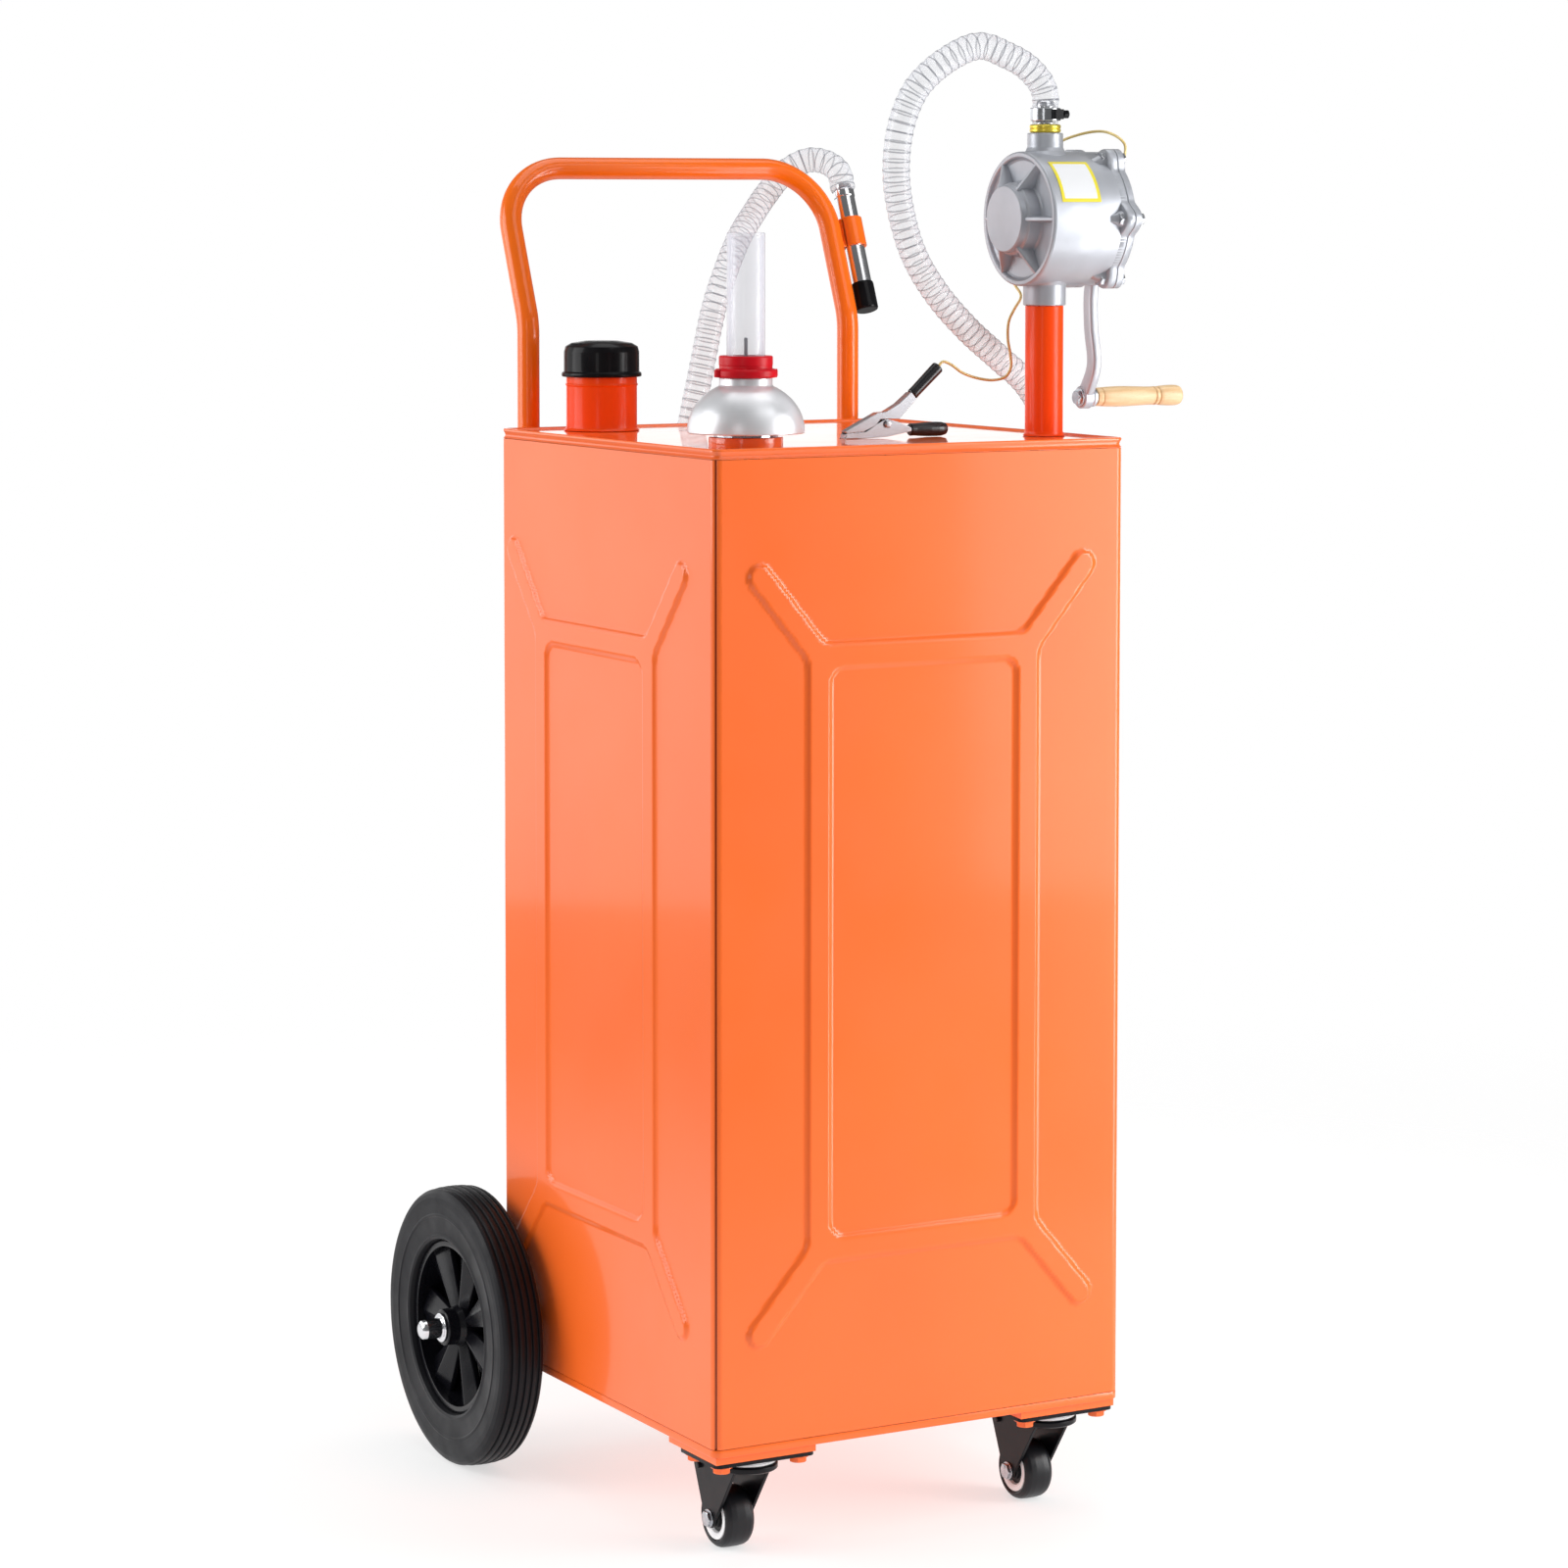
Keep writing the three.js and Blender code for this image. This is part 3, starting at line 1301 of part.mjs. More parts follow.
// The fork with its crown, two legs and the wheel's bolt; the wheel trails behind the swivel
function addFork(place, name, crownHigh) {
  const crownLow = crownHigh - forkCrownHeight;
  const axle = [casterTrail, casterWheelRadius - groundClearance];
  const inner = casterWheelWidth / 2 + forkGap;
  const crown = pipe("z", forkCrownRadius, kingpinRadius + seat, crownLow, crownHigh, [0, 0]);
  const arms = [-1, 1].map((side) => {
    const [start, end] = side < 0 ? [-inner - forkWall, -inner] : [inner, inner + forkWall];
    const shape = outline([
      [-forkLegWidth / 2, crownLow + overrun],
      [axle[0] - forkLegWidth / 2, axle[1]],
      [axle[0], axle[1] - forkLegWidth / 2],
      [axle[0] + forkLegWidth / 2, axle[1]],
      [pedalPivotBack + forkLegWidth / 2, crownLow - pedalPivotDrop],
      [pedalPivotBack, crownHigh],
      [0, crownHigh],
      [-forkLegWidth / 2, crownHigh],
    ]);
    return slab("x", shape, start, end);
  });
  const bolt = bar("x", casterPinRadius, -inner - forkWall, inner + forkWall, axle, smallSides);
  const heads = [
    bar("x", casterPinHead, -inner - forkWall - casterPinHeadHeight, -inner - forkWall, axle, smallSides),
    bar("x", casterPinHead, inner + forkWall, inner + forkWall + casterPinHeadHeight, axle, smallSides),
  ];
  const pivot = [pedalPivotBack, crownLow - pedalPivotDrop];
  const pin = bar("x", pedalPinRadius, -inner - 2 * forkWall, inner + 2 * forkWall, pivot, smallSides);
  const clenchLow = crownLow - forkWall - 3 * seat;
  const clearance = bar("z", 2 * kingpinRadius + seat, clenchLow, crownLow, [0, 0], smallSides);
  const fork = join([crown, ...arms, bolt, ...heads, pin]).subtract(clearance);
  piece(place, name + "_caster_fork", fork, blackSteel);
  addCasterWheel(place, name, axle);
  addPedal(place, name, pivot, inner);
}

// Caster wheel with a rounded tread
function addCasterWheel(place, name, axle) {
  const half = casterWheelWidth / 2;
  const bore = casterPinRadius + seat;
  const profile = [
    [bore, -half],
    [casterWheelRadius - half / 3, -half],
    [casterWheelRadius, -half / 2],
    [casterWheelRadius, half / 2],
    [casterWheelRadius - half / 3, half],
    [bore, half],
    [bore, -half],
  ];
  piece(place, name + "_caster_wheel", turned("x", profile, axle), blackRubber);
}

// Brake pedal: a plate on a pin across the fork, its lip behind the wheel and its shoe above the tread
function addPedal(place, name, pivot, inner) {
  const width = inner - seat;
  const tip = [pivot[0] + pedalReach, pivot[1] + pedalRise];
  const half = pedalThickness / 2;
  const arm = outline([
    [pivot[0], pivot[1] - half],
    [tip[0], tip[1] - half],
    [tip[0], tip[1] + half],
    [pivot[0], pivot[1] + half],
  ]);
  const shoe = block(
    [-shoeWidth / 2, pivot[0] - half, pivot[1] - shoeDrop],
    [shoeWidth / 2, pivot[0] + half, pivot[1]],
  );
  const solids = [
    bar("x", pedalPinRadius + pedalThickness, -width, width, pivot, smallSides),
    slab("x", arm, -pedalWidth / 2, pedalWidth / 2),
    bar("x", pedalLipRadius, -pedalWidth / 2, pedalWidth / 2, tip, smallSides),
    shoe,
  ];
  const bore = bar("x", pedalPinRadius + seat, -width - overrun, width + overrun, pivot, smallSides);
  piece(place, name + "_brake_pedal", join(solids).subtract(bore), blackPlastic);
}

// Spring clamp of the ground wire: a lower half that lies on the tank top and an upper half that opens
const clampPlace = groupAt(deck, clampPivotX, clampY, clampPivotHeight);
function addClamp() {
  const noseX = clampNoseX - clampPivotX;
  const tailX = clampNoseX + clampLength - clampPivotX;
  const floor = seat - clampPivotHeight;
  const gripStart = tailX - lowerGripLength;
  const lowerShape = outline([
    [noseX, floor],
    [noseX / 2, floor],
    [gripStart + overrun, -jawWidth + lowerGripRadius / 2],
    [gripStart + overrun, -jawWidth / 2],
    [0, jawWidth / 2],
    [noseX / 2, -jawWidth / 2 - jawWall],
    [noseX + jawWall, floor + jawWidth / 2],
  ]);
  const across = (shape, half) => {
    const geometry = new THREE.ExtrudeGeometry(shape, { depth: 2 * half, bevelEnabled: false });
    return solid(geometry.translate(0, 0, -half).rotateX(right));
  };
  const inside = jawWidth / 2 - jawWall;
  const pin = bar("y", clampPinRadius, -jawWidth / 2 - jawWall, jawWidth / 2 + jawWall, [0, 0], smallSides);
  const cheek = inside + seat;
  const pocket = block([-jawWidth / 2 - jawWall, -cheek, -jawWidth], [jawWidth, cheek, jawWidth]);
  const lower = across(lowerShape, jawWidth / 2).subtract(pocket);
  piece(clampPlace, "clamp_lower_jaw", lower.add(pin), chrome);
  const sleeveLine = [0, lowerGripRadius + floor];
  const sleeve = bar("x", lowerGripRadius, gripStart + overrun + seat, tailX, sleeveLine, smallSides);
  piece(clampPlace, "clamp_lower_grip", sleeve, blackPlastic);
  addUpperJaw(noseX, floor, inside, across);
}

// Upper half of the clamp with its raised handle and grip, turning on the pin
function addUpperJaw(noseX, floor, inside, across) {
  const rise = [Math.cos(upperLean), Math.sin(upperLean)];
  const at = (length, off) => [length * rise[0] - off * rise[1], length * rise[1] + off * rise[0]];
  const shape = outline([
    [noseX + jawWall, floor + jawWidth / 2 + seat],
    [noseX / 2, -jawWidth / 2 - jawWall + seat],
    [-jawWidth / 2 - jawWall - seat, jawWidth / 2],
    at(upperHandleLength, -jawWidth / 2),
    at(upperHandleLength, jawWidth / 2),
    [-jawWidth, jawWidth + jawWall],
    [noseX / 2, jawWidth / 2],
  ]);
  const web = clampPinRadius + jawWall;
  const tongue = bar("y", web, -inside, inside, [0, 0], smallSides).add(
    block([-web, -inside, 0], [web, inside, jawWidth]),
  );
  const hole = bar("y", clampPinRadius + seat, -jawWidth, jawWidth, [0, 0], smallSides);
  const gapTop = jawWidth / 2 + jawWall + seat;
  const gap = block([-jawWidth, -jawWidth, -jawWidth], [jawWidth, -inside, gapTop]);
  const otherGap = block([-jawWidth, inside, -jawWidth], [jawWidth, jawWidth, gapTop]);
  const upper = cut(across(shape, jawWidth / 2).add(tongue), [hole, gap, otherGap]);
  piece(clampPlace, "clamp_upper_jaw", upper, chrome);
  const turnedUp = groupAt(clampPlace, 0, 0, 0);
  turnedUp.rotation.y = -upperLean;
  const start = upperHandleLength + seat;
  const grip = bar("x", upperGripRadius, start, start + upperGripLength, [0, 0], smallSides);
  piece(turnedUp, "clamp_upper_grip", grip, blackPlastic);
}

// Ground wire from a lug of the pump cover, behind the drum and down to the clamp's upper grip
const gripEnd = upperHandleLength + seat + upperGripLength + seat;
const wireStart = [
  columnX + coverBack + boltHeadHeight + seat + wireRadius,
  columnY - lugCircle / 2,
  tankHeight + pumpAxisHeight + (lugCircle * Math.sqrt(3)) / 2,
];
const wireEnd = [
  clampPivotX + gripEnd * Math.cos(upperLean),
  clampY,
  tankHeight + clampPivotHeight + gripEnd * Math.sin(upperLean),
];
const wireRoute = [
  wireStart,
  [232, -148, 1088],
  [218, -140, 1098],
  [200, -114, 1094],
  [186, -90, 1081],
  [172, -62, 1058],
  [163, -51, 1018],
  [164, -58, 986],
  [167, -74, 966],
  [165, -88, 955],
  [160, -86, 945],
  [154, -86, 934],
  [153, -86, 919],
  [155, -87, 905],
  [155, -88, 894],
  [150, -88, 886],
  [138, -87, 883],
  [122, -85, 885],
  [108, -83, 890],
  [98, -81, 897],
  [wireEnd[0] + wireLead * Math.cos(upperLean), clampY, wireEnd[2] + wireLead * Math.sin(upperLean)],
  wireEnd,
];
function addWire() {
  piece(tank, "ground_wire", wire(wireRoute, wireRadius, wireSteps, wireSides), wireJacket);
}

addWalls();
addPlates();
addFiller();
addGaugeHead();
addGaugeStem();
addFloat();
addColumn();
addPumpBody();
addPumpCover();
addRotor();
addCrankArm();
addGrip();
addOutlet();
addHandle();
addSpout();
addHose();
addAxle();
addCaster(-1);
addCaster(1);
addClamp();
addWire();

// The origin is under the middle of the part's box on the floor, without the hose, its spout and the wire
const cordNames = ["hose", "spout", "spout_cap", "ground_wire"];
const extent = new THREE.Box3();
fuelCaddy.updateMatrixWorld(true);
fuelCaddy.traverse((item) => {
  if (item.isMesh && !cordNames.includes(item.name)) extent.expandByObject(item, true);
});
const middle = extent.getCenter(new THREE.Vector3());
fuelCaddy.position.set(-middle.x, -middle.y, -extent.min.z);

export default fuelCaddy;
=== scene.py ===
"""Looks of a wheeled steel fuel tank with a hand pump, a float gauge, a ribbed hose and a push handle.

Metres, +Z up. Lengths are given in the tank's own axes: the origin is under the middle of the tank on
its bottom plate, the front faces -Y, the crank is at +X and the push handle at +Y.
"""

import math

import bmesh
import bpy
import numpy as np
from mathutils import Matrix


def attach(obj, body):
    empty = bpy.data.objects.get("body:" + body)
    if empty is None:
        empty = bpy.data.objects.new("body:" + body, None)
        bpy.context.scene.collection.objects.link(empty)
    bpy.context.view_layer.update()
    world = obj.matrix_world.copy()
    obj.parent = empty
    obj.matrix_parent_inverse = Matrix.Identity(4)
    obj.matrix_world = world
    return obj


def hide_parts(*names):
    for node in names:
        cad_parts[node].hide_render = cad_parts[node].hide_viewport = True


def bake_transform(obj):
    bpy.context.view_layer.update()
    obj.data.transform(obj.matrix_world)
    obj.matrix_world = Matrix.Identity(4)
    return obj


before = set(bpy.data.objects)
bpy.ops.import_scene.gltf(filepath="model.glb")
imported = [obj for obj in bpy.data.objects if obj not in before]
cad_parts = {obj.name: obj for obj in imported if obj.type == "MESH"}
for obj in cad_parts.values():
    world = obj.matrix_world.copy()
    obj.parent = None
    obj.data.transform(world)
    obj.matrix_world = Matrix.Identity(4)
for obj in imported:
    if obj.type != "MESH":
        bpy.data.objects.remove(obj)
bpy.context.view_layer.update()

# The tank stands 98 mm above the floor, and the frame's origin is under the middle of the whole part.
# Every piece is built in the tank's axes and moved to the frame's by this one step.
TANK_PLACE = np.array([-0.0315, -0.067, 0.098])


def in_frame(points):
    """Points in the tank's axes, moved to the frame's."""
    return np.asarray(points, float) + TANK_PLACE


# Camera: it stands in front and to the left of the tank, a little above the pump, as the photograph
# was taken. The lens is long, and its shift only keeps the tank upright in the square picture.
CAMERA_PLACE = (-1.94152, -3.41538, 1.03711)
CAMERA_TURN = math.radians(-28.8227)
CAMERA_DOWN = math.radians(4.18993)
PICTURE_SIDE, PICTURE_FOCAL = 1600, 4594.5
PICTURE_CENTRE = (759.23, 543.25)
camera_data = bpy.data.cameras.new("camera")
camera_data.sensor_width = 36.0
camera_data.lens = PICTURE_FOCAL * camera_data.sensor_width / PICTURE_SIDE
camera_data.shift_x = (PICTURE_SIDE / 2 - PICTURE_CENTRE[0]) / PICTURE_SIDE
camera_data.shift_y = -(PICTURE_SIDE / 2 - PICTURE_CENTRE[1]) / PICTURE_SIDE
camera_data.clip_end = 50
camera = bpy.data.objects.new("camera", camera_data)
camera.location = in_frame(CAMERA_PLACE)
camera.rotation_euler = (math.pi / 2 - CAMERA_DOWN, 0, CAMERA_TURN)
bpy.context.scene.collection.objects.link(camera)
bpy.context.scene.camera = camera

# Hose: soft clear tube with moulded ribs. It leaves the pump's outlet upwards, falls in front of the
# handle, hangs behind the tank and comes up to the spout that is clipped to the handle's right leg.
DECK = 0.835
HOSE_RADIUS = 0.012
HOSE_CREST = HOSE_RADIUS - 0.0001
HOSE_VALLEY = 0.0113
HOSE_RIBS = 286
HOSE_SIDES = 16
HOSE_EXIT = (0.170, -0.118, DECK + 0.2693)
HANDLE_LEAN = math.radians(22)
LEG_Y = 0.2134
KNEE = 0.095


def on_lean(x, length, outwards=0.0):
    """A point that lies a length up the leaning handle legs, and outwards from them to the rear."""
    y = LEG_Y + length * math.sin(HANDLE_LEAN) + outwards * math.cos(HANDLE_LEAN)
    return (x, y, DECK + KNEE + length * math.cos(HANDLE_LEAN) - outwards * math.sin(HANDLE_LEAN))


SPOUT_X = 0.188
HOSE_ROUTE = [
    HOSE_EXIT,
    (0.170, -0.118, HOSE_EXIT[2] + 0.012),
    (0.170, -0.118, HOSE_EXIT[2] + 0.024),
    (0.166, -0.118, 1.139),
    (0.151, -0.117, 1.154),
    (0.130, -0.116, 1.164),
    (0.107, -0.113, 1.171),
    (0.077, -0.111, 1.160),
    (0.047, -0.108, 1.135),
    (0.033, -0.105, 1.103),
    (0.031, -0.100, 1.066),
    (0.038, -0.095, 1.033),
    (0.054, -0.090, 0.994),
    (0.081, -0.083, 0.960),
    (0.118, -0.074, 0.928),
    (0.158, -0.064, 0.901),
    (0.193, -0.054, 0.877),
    (0.219, -0.042, 0.846),
    (0.232, -0.028, 0.808),
    (0.237, -0.012, 0.750),
    (0.238, 0.010, 0.640),
    (0.238, 0.046, 0.500),
    (0.236, 0.090, 0.390),
    (0.232, 0.146, 0.320),
    (0.217, 0.206, 0.278),
    (0.170, 0.243, 0.256),
    (0.110, 0.252, 0.252),
    (0.052, 0.250, 0.274),
    (0.012, 0.247, 0.330),
    (-0.006, 0.244, 0.420),
    (-0.010, 0.241, 0.540),
    (-0.009, 0.239, 0.660),
    (-0.004, 0.236, 0.765),
    (0.008, 0.233, 0.827),
    (0.022, 0.234, 0.885),
    (0.038, 0.239, 0.941),
    (0.059, 0.250, 0.981),
    (0.081, 0.267, 1.007),
    (0.104, 0.286, 1.025),
    (0.129, 0.302, 1.046),
    (0.151, 0.306, 1.066),
    (0.171, 0.297, 1.077),
    (0.184, 0.282, 1.074),
    on_lean(SPOUT_X, 0.1443),
    on_lean(SPOUT_X, 0.1363),
    on_lean(SPOUT_X, 0.1283),
]


def smooth_route(route, count):
    """Evenly spaced points on the centripetal spline through a route, and their directions.

    Between two points the curve is the cubic Hermite whose end slopes come from the neighbours,
    each chord weighted by the square root of its length.
    """
    p = np.asarray(route, float)
    p = np.vstack([2 * p[0] - p[1], p, 2 * p[-1] - p[-2]])
    step = np.sqrt(np.linalg.norm(np.diff(p, axis=0), axis=1))[:, None]
    d0, d1, d2 = step[:-2], step[1:-1], step[2:]
    a, b, c, d = p[:-3], p[1:-2], p[2:-1], p[3:]
    m0 = ((b - a) / d0 - (c - a) / (d0 + d1) + (c - b) / d1) * d1
    m1 = ((c - b) / d1 - (d - b) / (d1 + d2) + (d - c) / d2) * d1
    t = np.linspace(0, 1, 80, endpoint=False)[:, None, None]
    curve = (
        b * (2 * t**3 - 3 * t**2 + 1)
        + m0 * (t**3 - 2 * t**2 + t)
        + c * (3 * t**2 - 2 * t**3)
        + m1 * (t**3 - t**2)
    )
    curve = np.vstack([curve.transpose(1, 0, 2).reshape(-1, 3), p[-2]])
    run = np.concatenate([[0], np.cumsum(np.linalg.norm(np.diff(curve, axis=0), axis=1))])
    even = np.linspace(0, run[-1], count)
    spots = np.stack([np.interp(even, run, curve[:, k]) for k in range(3)], 1)
    ways = np.gradient(spots, axis=0)
    return spots, ways / np.linalg.norm(ways, axis=1)[:, None], run[-1]


def carried(spots, ways, radii, sides):
    """A round section carried along a path: at each stop, centre + radius (cos a side + sin a other).

    The side vector is kept from stop to stop with its part along the path taken out, so the section
    doesn't twist. Returns rings as an array of stops by sides by 3.
    """
    side = np.cross(ways[0], (0, 1, 0) if abs(ways[0][1]) < 0.7 else (1, 0, 0))
    sides_of = np.empty_like(spots)
    for k, way in enumerate(ways):
        side = side - way * side.dot(way)
        side = side / np.linalg.norm(side)
        sides_of[k] = side
    others = np.cross(ways, sides_of)
    turn = np.linspace(0, 2 * np.pi, sides, endpoint=False)
    ring = np.cos(turn)[None, :, None] * sides_of[:, None] + np.sin(turn)[None, :, None] * others[:, None]
    return spots[:, None] + np.asarray(radii, float).reshape(-1, 1, 1) * ring


def skin(grid, around=True, ends=(True, True)):
    """Quads between neighbouring rows of a grid of points; around closes each row into a ring.

    ends says whether the first and the last row are closed with one flat face.
    """
    n, m = grid.shape[:2]
    i, j = np.meshgrid(np.arange(n - 1), np.arange(m if around else m - 1), indexing="ij")
    k = (j + 1) % m
    quads = np.stack([i * m + j, i * m + k, (i + 1) * m + k, (i + 1) * m + j], -1).reshape(-1, 4)
    faces = quads.tolist()
    if ends[0]:
        faces.append(list(range(m))[::-1])
    if ends[1]:
        faces.append(list(range((n - 1) * m, n * m)))
    return grid.reshape(-1, 3), faces


def together(*shells):
    """Several shells as one list of points and one list of faces."""
    points, faces, first = [], [], 0
    for spots, sides in shells:
        points.append(spots)
        faces += [[first + i for i in face] for face in sides]
        first += len(spots)
    return np.vstack(points), faces


def show(name, shell, finish, body="tank", stands_for=(), sharp=32, closed=True, bevel=0.0):
    """A shell as one named object of the frame, with smooth faces and sharp edges above an angle."""
    points, faces = shell
    mesh = bpy.data.meshes.new(name)
    mesh.from_pydata(in_frame(points).tolist(), [], faces)
    if closed:
        work = bmesh.new()
        work.from_mesh(mesh)
        bmesh.ops.remove_doubles(work, verts=work.verts, dist=2e-6)
        bmesh.ops.recalc_face_normals(work, faces=work.faces)
        work.to_mesh(mesh)
        work.free()
    mesh.polygons.foreach_set("use_smooth", np.ones(len(mesh.polygons), bool))
    mesh.set_sharp_from_angle(angle=math.radians(sharp))
    mesh.materials.append(finish)
    made = bpy.data.objects.new(name, mesh)
    bpy.context.scene.collection.objects.link(made)
    if bevel:
        soft = made.modifiers.new("soft_edges", "BEVEL")
        soft.width = bevel
        soft.segments = 2
        soft.limit_method = "ANGLE"
        soft.angle_limit = math.radians(40)
        soft.harden_normals = True
    if body:
        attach(made, body)
    if stands_for:
        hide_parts(*([stands_for] if isinstance(stands_for, str) else stands_for))
    return made


def wired(tree, kind, **inputs):
    """A shader node with its inputs set to numbers or joined to other nodes' outputs.

    An input is named by its own name, or by _ and its number.
    """
    made = tree.nodes.new(kind)
    for key, value in inputs.items():
        socket = made.inputs[int(key[1:])] if key[0] == "_" and key[1:].isdigit() else None
        socket = socket or made.inputs[key.replace("_", " ")]
        if isinstance(value, bpy.types.NodeSocket):
            tree.links.new(value, socket)
        else:
            socket.default_value = value
    return made


def new_finish(name):
    """An empty node material with its output, its Principled shader and its Object coordinates."""
    made = bpy.data.materials.new(name)
    made.use_nodes = True
    tree = made.node_tree
    tree.nodes.clear()
    out = tree.nodes.new("ShaderNodeOutputMaterial")
    shader = tree.nodes.new("ShaderNodeBsdfPrincipled")
    tree.links.new(shader.outputs["BSDF"], out.inputs["Surface"])
    where = tree.nodes.new("ShaderNodeTexCoord").outputs["Object"]
    return made, tree, shader, where


def ranged(tree, value, start, end, low, high):
    """A value's run from start to end, spread from low to high and held at both."""
    run = wired(tree, "ShaderNodeMapRange", Value=value, _1=start, _2=end, _3=low, _4=high)
    return run.outputs["Result"]


def own_value(tree, name):
    """A value that the piece's mesh holds at each of its points."""
    value = wired(tree, "ShaderNodeAttribute")
    value.attribute_name = name
    return value.outputs["Fac"]


def drift(tree, where, low, high, scale, detail=2.0):
    """Soft noise of a given scale, spread between a low and a high value."""
    noise = wired(tree, "ShaderNodeTexNoise", Vector=where, Scale=scale, Detail=detail)
    return ranged(tree, noise.outputs["Fac"], 0.3, 0.7, low, high)


def tinted(tree, amount, colour, other):
    """A mix of two colours by an amount; the first may also be another node's colour."""
    mix = tree.nodes.new("ShaderNodeMix")
    mix.data_type = "RGBA"
    tree.links.new(amount, mix.inputs[0])
    if isinstance(colour, bpy.types.NodeSocket):
        tree.links.new(colour, mix.inputs[6])
    else:
        mix.inputs[6].default_value = (*colour, 1)
    mix.inputs[7].default_value = (*other, 1)
    return mix.outputs[2]


def coloured(tree, shader, where, colour, other, scale, detail=2.0):
    """The shader's colour drifts between two colours."""
    tone = tinted(tree, drift(tree, where, 0.0, 1.0, scale, detail), colour, other)
    tree.links.new(tone, shader.inputs["Base Color"])


def roughened(tree, shader, where, low, high, scale):
    """The shader's roughness drifts between a low and a high value."""
    tree.links.new(drift(tree, where, low, high, scale), shader.inputs["Roughness"])


def set_shader(shader, **values):
    """Plain numbers and colours on the shader's own sockets."""
    for key, value in values.items():
        shader.inputs[key.replace("_", " ")].default_value = value


def bumped(tree, shader, height, depth, strength):
    """A pattern as the surface's relief, its full height standing for depth metres."""
    bump = wired(tree, "ShaderNodeBump", Height=height, Distance=depth, Strength=strength)
    tree.links.new(bump.outputs["Normal"], shader.inputs["Normal"])


def grained(tree, shader, where, scale, detail, depth, strength):
    """A fine noise as the surface's relief."""
    noise = wired(tree, "ShaderNodeTexNoise", Vector=where, Scale=scale, Detail=detail)
    bumped(tree, shader, noise.outputs["Fac"], depth, strength)


def keep_value(piece, name, values):
    """One number for each of a piece's points, kept in its mesh under a name."""
    kept = piece.data.attributes.new(name, "FLOAT", "POINT")
    kept.data.foreach_set("value", np.ravel(values).astype(np.float32))


def hose_finish():
    """Clear soft plastic with a fine grey wire in its ribs: nearly clear face on, and grey at its rims as
    painted shade of the tube's edges.
    """
    made, tree, shader, where = new_finish("clear_hose")
    grey = ranged(tree, own_value(tree, "wire_line"), 0.30, 0.75, 0.0, 1.0)
    rim = wired(tree, "ShaderNodeLayerWeight", Blend=0.3).outputs["Facing"]
    # Grey at the wire lines, and grey towards the rims, which is painted shade of the tube's edges.
    shade = wired(tree, "ShaderNodeMath", _0=grey, _1=ranged(tree, rim, 0.50, 0.80, 0.0, 0.9))
    shade.operation = "MAXIMUM"
    tree.links.new(tinted(tree, shade.outputs["Value"], (0.80, 0.82, 0.88), (0.20, 0.21, 0.25)),
                   shader.inputs["Base Color"])
    wall = ranged(tree, rim, 0.05, 0.70, 0.20, 0.62)
    soft = wired(tree, "ShaderNodeMath", _0=wall, _1=drift(tree, where, -0.04, 0.06, 70.0))
    lines = wired(tree, "ShaderNodeMath", _0=shade.outputs["Value"], _1=0.66)
    lines.operation = "MULTIPLY"
    alpha = wired(tree, "ShaderNodeMath", _0=soft.outputs["Value"], _1=lines.outputs["Value"])
    alpha.operation = "MAXIMUM"
    tree.links.new(alpha.outputs["Value"], shader.inputs["Alpha"])
    roughened(tree, shader, where, 0.10, 0.22, 60.0)
    set_shader(shader, Specular_IOR_Level=0.5)
    return made


# Each rib has five rings: how far each stands up from the valley, and how much of the wire it shows.
rib_rises = np.array([0.0, 0.0, 0.7, 1.0, 0.7])
rib_lines = np.array([0.0, 0.42, 0.0, 1.0, 0.0])
rib_rings = len(rib_rises)
hose_stops = HOSE_RIBS * rib_rings + 1
hose_step = np.arange(hose_stops) % rib_rings
hose_spots, hose_ways, hose_length = smooth_route(HOSE_ROUTE, hose_stops)
hose_radii = HOSE_VALLEY + (HOSE_CREST - HOSE_VALLEY) * rib_rises[hose_step]
hose_shell = skin(carried(hose_spots, hose_ways, hose_radii, HOSE_SIDES))
hose = show("ribbed_hose", hose_shell, hose_finish(), "tank", "hose", sharp=80, closed=False)
keep_value(hose, "wire_line", np.repeat(rib_lines[hose_step], HOSE_SIDES))

# Tank walls: four sheets of steel under a gloss powder coat with a faint orange peel. Each is pressed with
# one raised pattern and folded at its upright edges, and they meet on the corners in a fine seam groove. The
# seam's dark line is painted shade of the groove, with some pooled paint and dirt.
HALF = 0.2
PAINT = (0.97, 0.150, 0.018)
PAINT_PALE = (0.99, 0.164, 0.021)
# The seams' colour: painted shade of the groove, with some pooled paint and dirt.
SEAM_DIRT_AND_SHADE = (0.16, 0.006, 0.001)
RIB_HEIGHT = 0.003
RIB_SLOPE = 0.0048
RING_HALF = 0.1145
RIB_WIDTH = 0.026
RING_TOP, RING_BOTTOM = 0.676, 0.152
ARM_X, ARM_TOP, ARM_BOTTOM = 0.1575, 0.730, 0.100
CORNER = 0.008
SEAM_DEPTH, SEAM_TURN, FOLD_TURN = 0.0032, 0.08, 0.14
RIM, RIM_TUCK = 0.0073, 0.0015
INSIDE_SOLID = 0.0002
WALL_COLUMNS, WALL_ROWS = 154, 327


